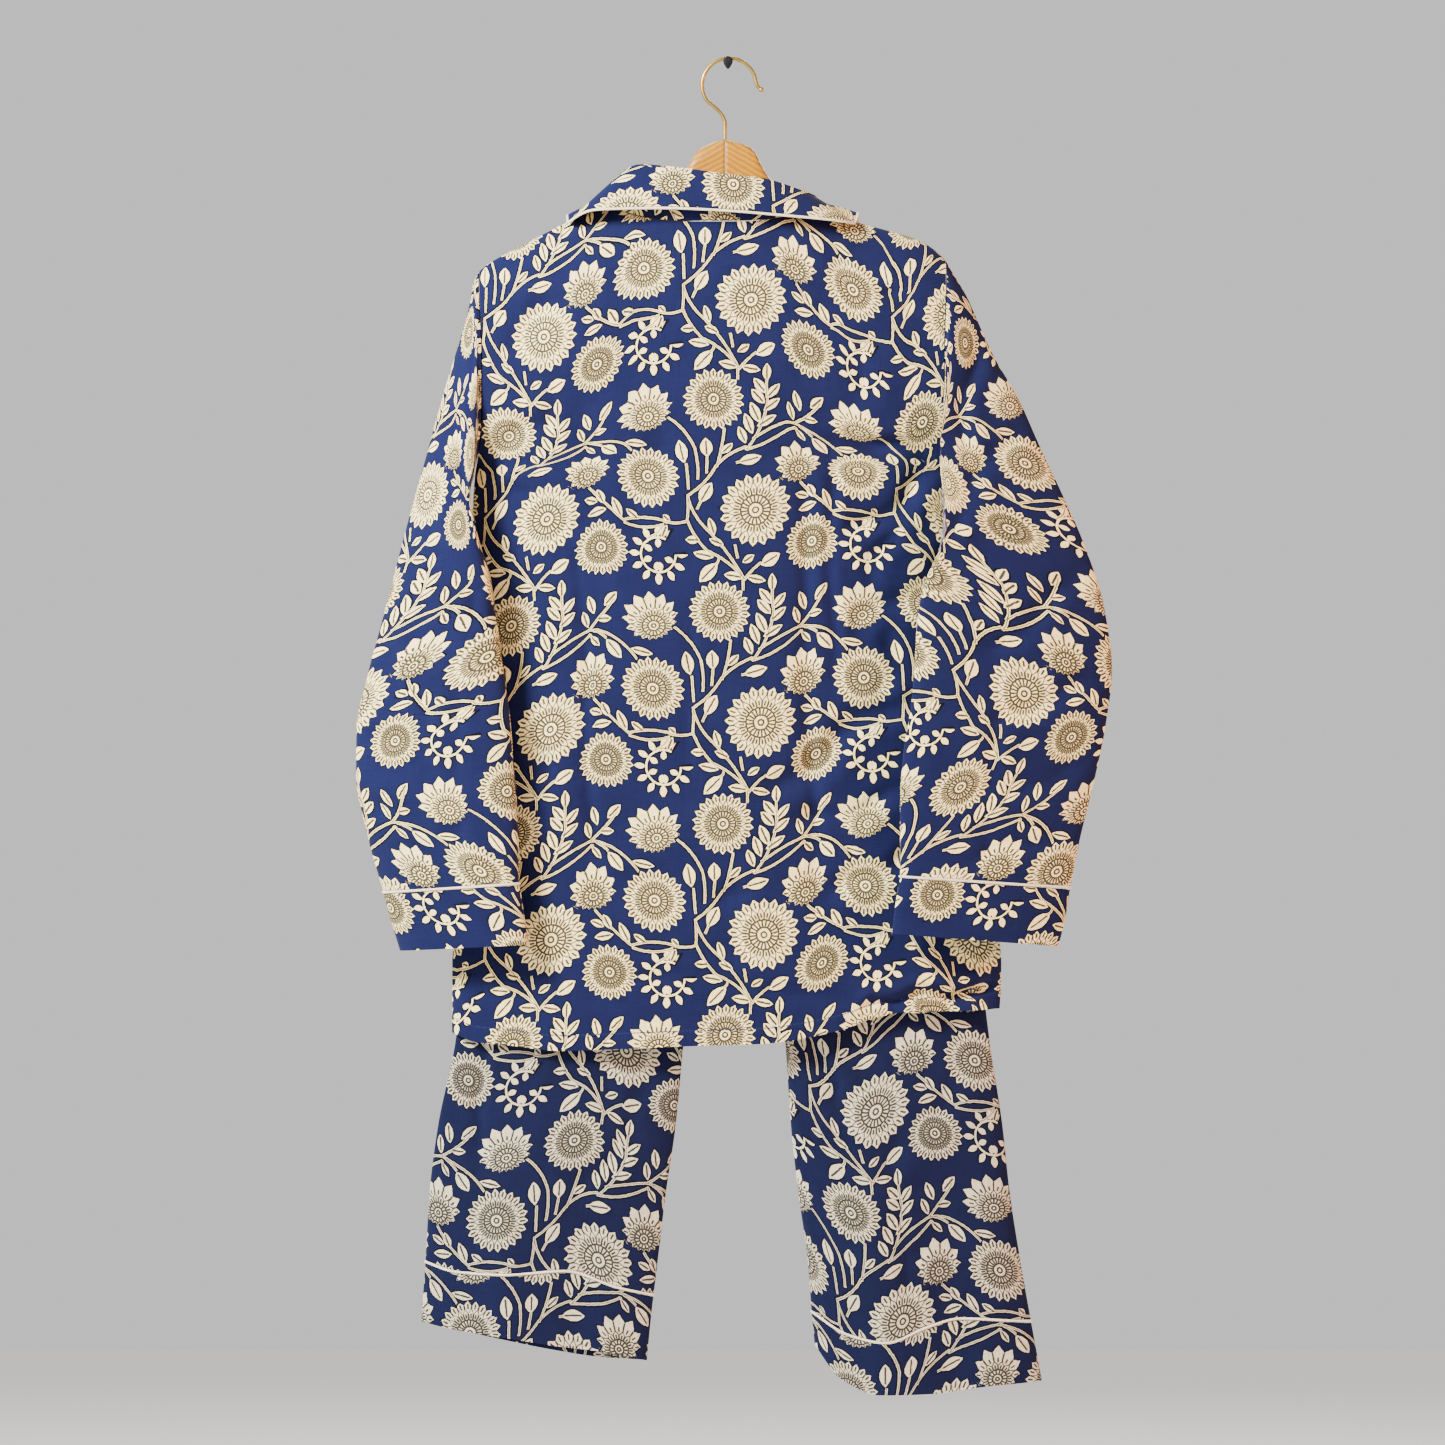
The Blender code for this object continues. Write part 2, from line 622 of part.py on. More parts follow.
def piping_path(upper, lower, lift):
    """Middle line between the edge above and the edge below, moved out by lift."""
    path = (upper + lower) / 2
    middle = path.mean(axis=0)
    away = path - middle
    away /= np.linalg.norm(away, axis=1, keepdims=True)
    return path + away * lift


def build_sleeves(cloth, piping):
    """Sleeves, cuff bands and the piping between them."""
    for side, name, rows, cuff_rows in (
        (-1, "left", SLEEVE_LEFT_RINGS, CUFF_LEFT_RINGS),
        (1, "right", SLEEVE_RIGHT_RINGS, CUFF_RIGHT_RINGS),
    ):
        sleeve = sleeve_points(side, rows)
        cuff = cuff_points(rows[-1], cuff_rows)
        tube_wall("sleeve_" + name, sleeve, cloth, hold_first=0)
        tube_wall("cuff_" + name, cuff, cloth)
        path = piping_path(sleeve[-1], cuff[0], -PIPING_SINK)
        cord_along("cuff_piping_" + name, path, PIPING_RADIUS, piping, closed=True)


def build_collar(cloth, piping):
    """Folded collar round the neck, with piping along its lower edge."""
    w = np.linspace(-1, 1, COLLAR_STEPS)
    fold = np.stack([column(COLLAR_ROWS, "fold_" + axis, "w")(w) for axis in "xyz"], axis=-1)
    edge = np.stack([column(COLLAR_ROWS, "edge_" + axis, "w")(w) for axis in "xyz"], axis=-1)
    seat = collar_seat(w)
    out = edge - fold
    out[:, 2] = 0
    out /= np.linalg.norm(out, axis=1, keepdims=True)
    half_gap = COLLAR_LAYER_GAP / 2
    rise = fold - seat
    columns = [
        seat,
        seat + rise * 0.5 - out * 0.4,
        fold - out * half_gap - np.array([0, 0, half_gap]),
        fold + np.array([0, 0, 0.4]),
        fold + out * (half_gap + 0.6) - np.array([0, 0, half_gap]),
        fold + (edge - fold) * 0.5 + out * 1.2,
        edge,
    ]
    outer = np.stack(columns, axis=1)
    normal = normals(outer, False)
    middle = outer.shape[0] // 2
    if normal[middle, 5, 1] > 0:
        normal = -normal
    make_wall("collar", outer, outer - normal * WALL, False, cloth)
    hang = edge - fold
    hang /= np.linalg.norm(hang, axis=1, keepdims=True)
    path = edge - normal[:, -1] * WALL / 2 + hang * (PIPING_RADIUS + 2 * SEAM_GAP)
    cord_along("collar_piping", path, PIPING_RADIUS, piping, closed=False)


def collar_seat(w):
    """Line just above the neck seam, from the left front round the back to the right front."""
    seat = []
    left_edge = neckline_edge(-1)
    right_edge = neckline_edge(1)
    for place in w:
        side = -1 if place < 0 else 1
        reach = abs(place)
        corner_x = NECK_LEFT_X if side < 0 else NECK_RIGHT_X
        corner_z = float(shoulder_z(np.array(float(corner_x))))
        if reach <= COLLAR_CORNER:
            middle_x = (NECK_LEFT_X + NECK_RIGHT_X) / 2
            x = middle_x + (corner_x - middle_x) * math.sin(reach / COLLAR_CORNER * math.pi / 2)
            z = float(neck_z(np.array(x)))
            y = -(SEAM_GAP / 2 + float(body_depth(np.array(x), np.array(z), back_depth, ())))
            seat.append((x, y + COLLAR_SEAT_IN, z + COLLAR_SEAT_RISE))
        else:
            down = (reach - COLLAR_CORNER) / (1 - COLLAR_CORNER)
            z = corner_z + (COLLAR_END_Z - corner_z) * down
            edge = left_edge if side < 0 else right_edge
            x = float(edge(np.array(z)))
            y = SEAM_GAP / 2 + float(body_depth(np.array(x), np.array(z), front_depth, ()))
            inward = -side * COLLAR_SEAT_IN
            seat.append((x + inward, y + COLLAR_SEAT_RISE, z + COLLAR_SEAT_RISE))
    return np.array(seat)


def build_buttons(material):
    """Flat round buttons on the outer front."""
    for number, level in enumerate(BUTTON_LEVELS, start=1):
        x = np.array(float(CLOSURE_X))
        z = np.array(float(level))
        surface = SEAM_GAP / 2 + float(body_depth(x, z, front_depth, FRONT_FOLDS)) + OVERLAP_LIFT
        y = surface + BUTTON_STAND + BUTTON_THICKNESS / 2
        bpy.ops.mesh.primitive_cylinder_add(
            vertices=16, radius=BUTTON_RADIUS * MM, depth=BUTTON_THICKNESS * MM,
            location=(CLOSURE_X * MM, y * MM, level * MM), rotation=(math.pi / 2, 0, 0))
        button = bpy.context.active_object
        button.name = "button_%d" % number
        button.data.materials.append(material)


leg_curves = {name: column(TROUSER_LEVELS, name, "z") for name in LegLevel._fields[1:]}


def leg_edges(side, z):
    """Left and right edge of one leg at a level, seen from the back."""
    if side < 0:
        return leg_curves["left_outer"](z), leg_curves["left_inner"](z)
    return leg_curves["right_inner"](z), leg_curves["right_outer"](z)


def leg_depth(side, z, share):
    """Half depth of a leg at a share of its width from the left; one round form above the crotch."""
    closed = np.clip((CROTCH_Z + CROTCH_PINCH - z) / CROTCH_PINCH, 0, 1)
    closed = closed * closed * (3 - 2 * closed)
    inner_turn = closed * math.pi / 2
    from_outer = share if side < 0 else 1 - share
    reach = from_outer * (1 + np.sin(inner_turn)) - 1
    return leg_curves["half_depth"](z) * np.sqrt(np.maximum(0, 1 - np.minimum(1, np.abs(reach)) ** 2))


def leg_panel_points(side, facing, shares, rows):
    """Outer points of a leg panel, from the waist seam to the piping; facing is -1 at the back."""
    table = PIPING_LEFT if side < 0 else PIPING_RIGHT
    line = column(table, "back" if facing < 0 else "front", "across")(shares)[None, :]
    down = rows[:, None]
    top = WAISTBAND_TOP - WAISTBAND_HEIGHT - SEAM_GAP
    z = top + (line + PIPING_SEAM / 2 - top) * down + 0 * shares[None, :]
    left, right = leg_edges(side, z)
    share = shares[None, :]
    gap = SEAM_GAP / 2
    closing = np.where(z > CROTCH_Z, gap, 0)
    if side < 0:
        right = right - closing
    else:
        left = left + closing
    x = left + (right - left) * share
    y = facing * (gap + leg_depth(side, z, share) + leg_folds(x, z, share))
    return np.stack([x, y, z], axis=-1)


def leg_folds(x, z, share):
    """Folds of the legs, faded out at the side seams."""
    return fold_height(LEG_FOLDS, x, z) * np.sin(math.pi * share)


def build_trouser_panels(cloth):
    """Four leg panels, back and front of each leg."""
    shares = (1 - np.cos(np.linspace(0, math.pi, LEG_COLUMNS))) / 2
    for side, side_name in ((-1, "left"), (1, "right")):
        for facing, facing_name in ((-1, "back"), (1, "front")):
            outer = leg_panel_points(side, facing, shares, LEG_ROWS)
            centre, outside = (-1, 0) if side < 0 else (0, -1)
            seat = outer[:, centre, 2] > CROTCH_Z + CROTCH_PINCH * 0.35
            hold = [(slice(None), outside, 1), (np.where(seat)[0], centre, 0),
                    (np.where(~seat)[0], centre, 1)]
            panel_wall("trouser_%s_%s" % (facing_name, side_name), outer, facing, cloth, hold)


def band_ring_points(side, lines, lower_lines, rows):
    """Rings of a hem band between two lines round the leg."""
    turn = np.linspace(0, 2 * math.pi, BAND_POINTS, endpoint=False)
    share = (1 - np.cos(turn)) / 2
    at_back = turn <= math.pi
    rings = []
    for down in rows:
        upper = np.where(at_back, column(lines, "back", "across")(share),
                         column(lines, "front", "across")(share))
        lower = np.where(at_back, column(lower_lines, "back", "across")(share),
                         column(lower_lines, "front", "across")(share))
        upper = upper - PIPING_SEAM / 2
        z = upper + (lower - upper) * down
        rings.append(leg_ring(side, z, share, turn))
    return np.array(rings)


def leg_ring(side, z, share, turn):
    """Points round a leg at given heights: over the back, then over the front."""
    left, right = leg_edges(side, z)
    x = left + (right - left) * share
    facing = np.where(turn <= math.pi, -1.0, 1.0)
    depth = leg_depth(side, z, share) + leg_folds(x, z, share)
    y = facing * depth
    y[np.abs(np.sin(turn)) < 1e-6] = 0
    return np.stack([x, y, z], axis=-1)


def build_hem_bands(cloth, piping):
    """Hem bands of both legs, with the piping above them."""
    for side, name, lines, lower in (
        (-1, "left", PIPING_LEFT, HEM_LEFT),
        (1, "right", PIPING_RIGHT, HEM_RIGHT),
    ):
        rings = band_ring_points(side, lines, lower, BAND_ROWS)
        tube_wall("hem_band_" + name, rings, cloth)
        turn = np.linspace(0, 2 * math.pi, BAND_POINTS, endpoint=False)
        share = (1 - np.cos(turn)) / 2
        z = np.where(turn <= math.pi, column(lines, "back", "across")(share),
                     column(lines, "front", "across")(share))
        path = leg_ring(side, z, share, turn)
        path[:, 1] -= np.sign(path[:, 1]) * PIPING_SINK
        cord_along("hem_piping_" + name, path, PIPING_RADIUS, piping, closed=True)



def build_waistband(cloth):
    """Elastic waistband stretched round the ends of the hanger."""
    turn = np.linspace(0, 2 * math.pi, WAISTBAND_POINTS, endpoint=False)
    rings = []
    for down in (0.0, 0.5, 1.0):
        z = WAISTBAND_TOP - WAISTBAND_HEIGHT * down
        left = leg_curves["left_outer"](WAIST_SEAM_Z)
        right = leg_curves["right_outer"](WAIST_SEAM_Z)
        middle, half = (left + right) / 2, (right - left) / 2
        seam_depth = leg_curves["half_depth"](WAIST_SEAM_Z)
        depth = WAISTBAND_HALF_DEPTH + (seam_depth - WAISTBAND_HALF_DEPTH) * down
        x = middle - half * np.sign(np.cos(turn)) * np.abs(np.cos(turn)) ** 0.8
        y = -depth * np.sign(np.sin(turn)) * np.abs(np.sin(turn)) ** WAISTBAND_FULLNESS
        y[0] = 0
        y[WAISTBAND_POINTS // 2] = 0
        rings.append(np.stack([x, y, np.full_like(x, z)], axis=-1))
    tube_wall("waistband", np.array(rings), cloth)


def build_hanger(wood):
    """Two wooden halves, glued at the centre, with rounded arms."""
    turns = np.linspace(0, 2 * math.pi, HANGER_SIDES, endpoint=False)
    for side, name, top_name in ((-1, "left", "left_top"), (1, "right", "right_top")):
        rings = []
        for station in HANGER_STATIONS:
            top = getattr(station, top_name)
            middle = top - station.height / 2
            up = np.sign(np.cos(turns)) * np.abs(np.cos(turns)) ** HANGER_SQUARENESS
            out = np.sign(np.sin(turns)) * np.abs(np.sin(turns)) ** HANGER_SQUARENESS
            z = middle + station.height / 2 * up
            y = station.half_thickness * out
            x = np.full_like(y, HANGER_CENTRE_X + side * station.reach)
            rings.append(np.stack([x, y, z], axis=-1))
        points = np.array(rings).reshape(-1, 3)
        count = len(HANGER_STATIONS)
        faces = []
        for r in range(count - 1):
            for c in range(HANGER_SIDES):
                d = (c + 1) % HANGER_SIDES
                low = (r + 1) * HANGER_SIDES
                faces.append((r * HANGER_SIDES + c, low + c, low + d, r * HANGER_SIDES + d))
        faces.append(tuple(range(HANGER_SIDES)))
        faces.append(tuple(reversed(range((count - 1) * HANGER_SIDES, count * HANGER_SIDES))))
        if side < 0:
            faces = [tuple(reversed(face)) for face in faces]
        make_object("hanger_half_" + name, points, faces, wood)


def hook_route():
    """Centre line of the wire, from the stem up over the crook to its free end."""
    route = [(point.x, point.z) for point in HOOK_STEM]
    for step in range(CROOK_STEPS + 1):
        share = step / CROOK_STEPS
        angle = math.radians(CROOK_START_DEGREES + (CROOK_END_DEGREES - CROOK_START_DEGREES) * share)
        route.append((CROOK_CENTRE.x + CROOK_RADIUS * math.cos(angle),
                      CROOK_CENTRE.z + CROOK_RADIUS * math.sin(angle)))
    route.extend((point.x, point.z) for point in HOOK_END)
    return route


def build_hook(brass):
    """Wire hook as a bevelled curve with filled ends."""
    curve = bpy.data.curves.new("hanger_hook", "CURVE")
    curve.dimensions = "3D"
    curve.bevel_depth = WIRE_RADIUS * MM
    curve.bevel_resolution = 2
    curve.use_fill_caps = True
    route = hook_route()
    spline = curve.splines.new("POLY")
    spline.points.add(len(route) - 1)
    for point, (x, z) in zip(spline.points, route):
        point.co = (x * MM, 0, z * MM, 1)
    curve.materials.append(brass)
    made = bpy.data.objects.new("hanger_hook", curve)
    bpy.context.collection.objects.link(made)


def build_nail(black):
    """Nail: a head in front of the wire and a shank that runs back to the wall."""
    turns = np.linspace(0, 2 * math.pi, NAIL_SIDES, endpoint=False)
    point_down = np.maximum(0, -np.sin(turns)) ** 4 * NAIL_HEAD_POINT
    profile = (
        (NAIL_FRONT_Y, 0.55 * NAIL_HEAD_RADIUS, 0.55),
        (NAIL_FRONT_Y + 0.6, 0.92 * NAIL_HEAD_RADIUS, 0.92),
        (NAIL_FRONT_Y + 1.4, NAIL_HEAD_RADIUS, 1.0),
        (NAIL_FRONT_Y + NAIL_HEAD_THICKNESS, 0.8 * NAIL_HEAD_RADIUS, 0.8),
        (NAIL_FRONT_Y + NAIL_HEAD_THICKNESS + 0.2, NAIL_RADIUS, 0.0),
        (WALL_FACE_Y, NAIL_RADIUS, 0.0),
    )
    rings = []
    for y, radius, pointed in profile:
        x = radius * np.cos(turns)
        z = NAIL_AXIS_Z + radius * np.sin(turns) - point_down * pointed
        rings.append(np.stack([x, np.full_like(x, y), z], axis=-1))
    faces = []
    for r in range(len(profile) - 1):
        for c in range(NAIL_SIDES):
            d = (c + 1) % NAIL_SIDES
            faces.append((r * NAIL_SIDES + c, (r + 1) * NAIL_SIDES + c,
                          (r + 1) * NAIL_SIDES + d, r * NAIL_SIDES + d))
    faces.append(tuple(range(NAIL_SIDES)))
    faces.append(tuple(reversed(range((len(profile) - 1) * NAIL_SIDES, len(profile) * NAIL_SIDES))))
    make_object("wall_nail", np.array(rings).reshape(-1, 3), faces, black)


def main():
    for old in list(bpy.data.objects):
        bpy.data.objects.remove(old, do_unlink=True)
    cloth = make_material("printed_cotton", PRINT_COLOUR, 0.85)
    leg_cloth = make_material("printed_cotton_legs", TROUSER_COLOUR, 0.85)
    piping = make_material("cream_piping", PIPING_COLOUR, 0.8)
    wood = make_material("light_wood", WOOD_COLOUR, 0.45)
    brass = make_material("brass_wire", BRASS_COLOUR, 0.3, 1.0)
    black = make_material("black_nail", NAIL_COLOUR, 0.5)
    shell = make_material("button_shell", BUTTON_COLOUR, 0.3)
    build_jacket_body(cloth)
    build_sleeves(cloth, piping)
    build_collar(cloth, piping)
    build_buttons(shell)
    build_trouser_panels(leg_cloth)
    build_hem_bands(leg_cloth, piping)
    build_waistband(leg_cloth)
    build_hanger(wood)
    build_hook(brass)
    build_nail(black)


main()
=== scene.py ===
import logging
import math
from dataclasses import dataclass
from enum import Enum
from typing import Callable, NamedTuple, Optional, Sequence, Union

import bpy
import numpy as np
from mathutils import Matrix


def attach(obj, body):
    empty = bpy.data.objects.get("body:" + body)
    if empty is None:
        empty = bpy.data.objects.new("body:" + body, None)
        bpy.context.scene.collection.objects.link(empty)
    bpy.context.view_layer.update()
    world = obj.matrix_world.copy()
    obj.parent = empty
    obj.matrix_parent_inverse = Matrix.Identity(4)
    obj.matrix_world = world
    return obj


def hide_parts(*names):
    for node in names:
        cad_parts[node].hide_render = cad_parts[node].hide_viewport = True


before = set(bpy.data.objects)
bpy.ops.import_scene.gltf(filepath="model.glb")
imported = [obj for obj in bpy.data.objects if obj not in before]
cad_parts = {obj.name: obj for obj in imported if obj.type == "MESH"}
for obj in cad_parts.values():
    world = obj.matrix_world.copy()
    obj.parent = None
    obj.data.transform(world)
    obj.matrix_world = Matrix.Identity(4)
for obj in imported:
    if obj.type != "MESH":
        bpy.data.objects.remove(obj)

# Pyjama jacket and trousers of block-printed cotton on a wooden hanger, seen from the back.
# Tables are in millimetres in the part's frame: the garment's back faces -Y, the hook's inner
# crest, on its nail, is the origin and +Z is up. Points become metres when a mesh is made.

LOG = logging.getLogger("pyjama_set")
MM = 0.001
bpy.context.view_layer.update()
SEAM_GAP = 0.3
CREASE_GAIN = 1.5
CORD_RADIUS = 1.05
# Size and corner of a shell's two sides in its bake map, and the strip of its rims.
BAKE_OUTER = ((0.62, 0.965), (0.005, 0.01))
BAKE_INNER = ((0.355, 0.965), (0.64, 0.01))
BAKE_RIMS = (0.982, 0.995)
Array = np.ndarray
Curve = Callable[[Array], Array]
Tree = bpy.types.NodeTree
Socket = bpy.types.NodeSocket
Object = bpy.types.Object
Material = bpy.types.Material


class Facing(Enum):
    """Which way a panel of the garment looks, as its sign along Y."""

    BACK = -1
    FRONT = 1


class Side(Enum):
    """Left or right as seen from the back, as its sign along X."""

    LEFT = -1
    RIGHT = 1

    @property
    def word(self) -> str:
        """Side's word in the names of the pieces."""
        return self.name.lower()


class Level(NamedTuple):
    """Edges and depths of the jacket's body at one height."""

    z: float
    left: float
    right: float
    edge_angle: float
    back_depth: float
    front_depth: float


class Point(NamedTuple):
    """Place on a line seen from the back."""

    x: float
    z: float


class Ring(NamedTuple):
    """Outer and inner end of one flattened ring of a sleeve."""

    outer_x: float
    outer_z: float
    inner_x: float
    inner_z: float
    outer_y: float
    inner_y: float
    half_depth: float
    bow: float


class CollarRow(NamedTuple):
    """Fold and lower edge of the collar at one place round the neck."""

    w: float
    fold_x: float
    fold_y: float
    fold_z: float
    edge_x: float
    edge_y: float
    edge_z: float


class LegLevel(NamedTuple):
    """Edges and half depth of both legs at one height."""

    z: float
    left_outer: float
    left_inner: float
    right_inner: float
    right_outer: float
    half_depth: float


class LegLine(NamedTuple):
    """Height of a seam round a leg at a share of its width."""

    across: float
    back: float
    front: float


class Fold(NamedTuple):
    """Broad fold of the cloth along a line."""

    x0: float
    z0: float
    x1: float
    z1: float
    width: float
    depth: float


class Crease(NamedTuple):
    """Narrow crease: a trough with a soft lip, bowed sideways by bend; a negative depth rises."""

    x0: float
    z0: float
    x1: float
    z1: float
    width: float
    depth: float
    bend: float = 0.0


def rows_of(row: type, *rows: tuple) -> tuple:
    """Rows of a table, each with its columns named by the row's type."""
    return tuple(row(*values) for values in rows)


def ease(share: Array) -> Array:
    """Share from 0 to 1, made to start and stop softly."""
    return share * share * (3 - 2 * share)


def lengths_along(points: Array, axis: int = 0) -> Array:
    """Length along the cloth from the first point of an axis."""
    steps = np.linalg.norm(np.diff(points, axis=axis), axis=-1)
    start = np.zeros_like(np.take(steps, [0], axis=axis))
    return np.concatenate([start, np.cumsum(steps, axis=axis)], axis=axis)


def add_object(name: str, data: bpy.types.ID) -> Object:
    """New object in the scene."""
    made = bpy.data.objects.new(name, data)
    bpy.context.collection.objects.link(made)
    return made


def dress_mesh(mesh: bpy.types.Mesh, material: Material, sharp: Optional[float] = None) -> None:
    """Give a mesh its finish and soft shading, with edges sharp from an angle in degrees."""
    mesh.materials.clear()
    mesh.materials.append(material)
    mesh.shade_smooth()
    if sharp is not None:
        mesh.set_sharp_from_angle(angle=math.radians(sharp))


def cylinder(radius: float, depth: float, vertices: int, place: Sequence[float] = (0, 0, 0),
             turn: float = math.pi / 2) -> Object:
    """Add a cylinder along Y.

    Args:
        radius: Radius in mm.
        depth: Length in mm.
        vertices: Points round it.
        place: Its middle, in mm.
        turn: Turn round X.

    Returns:
        The new object, which is the active one.
    """
    bpy.ops.mesh.primitive_cylinder_add(vertices=vertices, radius=radius * MM, depth=depth * MM,
                                        location=[v * MM for v in place], rotation=(turn, 0, 0))
    return bpy.context.active_object


def round_edges(made: Object, width: float, segments: int) -> None:
    """Bevel the sharp edges of the active object by a width in mm."""
    bevel = made.modifiers.new("rounded", "BEVEL")
    bevel.width, bevel.segments, bevel.limit_method = width * MM, segments, "ANGLE"
    bpy.ops.object.modifier_apply(modifier=bevel.name)


def smooth_through(knots: Sequence[float], values: Sequence) -> Curve:
    """Make a smooth curve that never swings past two neighbouring values.

    Args:
        knots: Places in rising order.
        values: Value at each knot, a number or an array.

    Returns:
        Function from places to values.
    """
    knot = np.asarray(knots, float)
    value = np.asarray(values, float)
    span = np.diff(knot).reshape((-1,) + (1,) * (value.ndim - 1))
    steps = np.diff(value, axis=0) / span
    slopes = np.zeros_like(value)
    slopes[0] = steps[0]
    slopes[-1] = steps[-1]
    same_way = steps[:-1] * steps[1:] > 0
    total = np.where(same_way, steps[:-1] + steps[1:], 1.0)
    slopes[1:-1] = np.where(same_way, 2 * steps[:-1] * steps[1:] / total, 0.0)

    def at(place: Array) -> Array:
        """Value at each place."""
        place = np.clip(np.asarray(place, float), knot[0], knot[-1])
        i = np.clip(np.searchsorted(knot, place, side="right") - 1, 0, len(knot) - 2)
        more = (1,) * (value.ndim - 1)
        width = (knot[i + 1] - knot[i]).reshape(place.shape + more)
        t = ((place - knot[i]) / (knot[i + 1] - knot[i])).reshape(place.shape + more)
        start = (1 + 2 * t) * (1 - t) ** 2 * value[i] + t * (1 - t) ** 2 * width * slopes[i]
        end = t * t * (3 - 2 * t) * value[i + 1] + t * t * (t - 1) * width * slopes[i + 1]
        return start + end

    return at


def column(table: Sequence, name: str, key: str) -> Curve:
    """Smooth curve of one column of a table against its key column."""
    rows = sorted(table, key=lambda row: getattr(row, key))
    return smooth_through([getattr(row, key) for row in rows], [getattr(row, name) for row in rows])


def broad_height(folds: Sequence[Fold], x: Array, z: Array) -> Array:
    """Outward shift of the broad folds that the solids have too.

    Args:
        folds: Folds of this panel.
        x: Across places, in mm.
        z: Heights, in mm.

    Returns:
        Shift at each place, in mm.
    """
    height = np.zeros_like(x)
    for fold in folds:
        along = np.array([fold.x1 - fold.x0, fold.z1 - fold.z0], float)
        length = np.hypot(*along)
        along /= length
        run = (x - fold.x0) * along[0] + (z - fold.z0) * along[1]
        side = (z - fold.z0) * along[0] - (x - fold.x0) * along[1]
        past = np.maximum(0, np.maximum(-run, run - length))
        height = height - fold.depth * np.exp(-(side / fold.width) ** 2 - (past / (2 * fold.width)) ** 2)
    return height


def crease_height(creases: Sequence[Crease], x: Array, z: Array) -> Array:
    """Outward shift of the narrow creases, uneven along their length.

    Args:
        creases: Creases of this panel.
        x: Across places, in mm.
        z: Heights, in mm.

    Returns:
        Shift at each place, in mm.
    """
    height = np.zeros_like(x)
    for number, crease in enumerate(creases):
        along = np.array([crease.x1 - crease.x0, crease.z1 - crease.z0], float)
        length = np.hypot(*along)
        along /= length
        run = ((x - crease.x0) * along[0] + (z - crease.z0) * along[1]) / length
        side = (z - crease.z0) * along[0] - (x - crease.x0) * along[1]
        inside = np.clip(run, 0, 1)
        side = side - crease.bend * 4 * inside * (1 - inside)
        side = side - crease.width * 0.5 * np.sin(9 * inside + number)
        uneven = 0.8 + 0.2 * np.sin(13 * inside + 1.7 * number)
        ends = ease(np.clip(np.minimum(run + 0.12, 1.12 - run) / 0.3, 0, 1))
        trough = np.exp(-(side / crease.width) ** 2)
        lip = 0.38 * np.exp(-((side - 2.1 * crease.width) / (1.1 * crease.width)) ** 2)
        height = height - crease.depth * uneven * ends * (trough - lip)
    return height


def ripple(x: Array, z: Array, phase: float) -> Array:
    """Low uneven swell of hanging cotton, about 1.5 mm high."""
    swell = np.sin(x / 23 + 1.3 * np.sin(z / 57 + phase) + phase)
    swell = swell + 0.8 * np.sin(z / 41 - x / 90 + 2.1 * phase)
    swell = swell + 0.5 * np.sin((x + 0.6 * z) / 17 + 3 * phase) * np.sin(z / 130 + phase)
    return 0.75 * swell


def puckers(points: Array, axis: int, at_end: bool, reach: float, height: float) -> Array:
    """Small puckers that a seam draws into the cloth beside it.

    Args:
        points: Grid of points, in mm.
        axis: Grid's axis that leads away from the seam.
        at_end: Whether the seam is at that axis's end.
        reach: Distance over which they fade, in mm.
        height: Their height, in mm.

    Returns:
        Shift at each point, in mm.
    """
    grid = np.moveaxis(points, axis, 0)
    if at_end:
        grid = grid[::-1]
    away = lengths_along(grid)
    run = lengths_along(grid[0])[None, :]
    wave = np.sin(run / 1.9 + 1.7 * np.sin(run / 13)) * (0.65 + 0.35 * np.sin(run / 21 + 1))
    shift = height * wave * np.exp(-away / reach) * np.minimum(1, away / 2)
    if at_end:
        shift = shift[::-1]
    return np.moveaxis(shift, 0, axis) if axis == 0 else shift.T


def grid_normals(points: Array, closed: bool) -> Array:
    """Unit normals of a grid of points, across the columns then down the rows."""
    if closed:
        across = np.roll(points, -1, axis=1) - np.roll(points, 1, axis=1)
    else:
        across = np.gradient(points, axis=1)
    normal = np.cross(across, np.gradient(points, axis=0))
    return normal / np.maximum(1e-9, np.linalg.norm(normal, axis=-1, keepdims=True))


def fade_in(count: int, reach: int, first: bool, last: bool) -> Array:
    """Weights of a row or column of points, soft towards the held ends.

    Args:
        count: Number of points.
        reach: Points over which the weight rises.
        first: Whether the first end is held.
        last: Whether the last end is held.

    Returns:
        Weight of each point, from 0 to 1.
    """
    place = np.arange(count, dtype=float)
    near = np.ones(count)
    if first:
        near = np.minimum(near, place / reach)
    if last:
        near = np.minimum(near, (count - 1 - place) / reach)
    return ease(near)


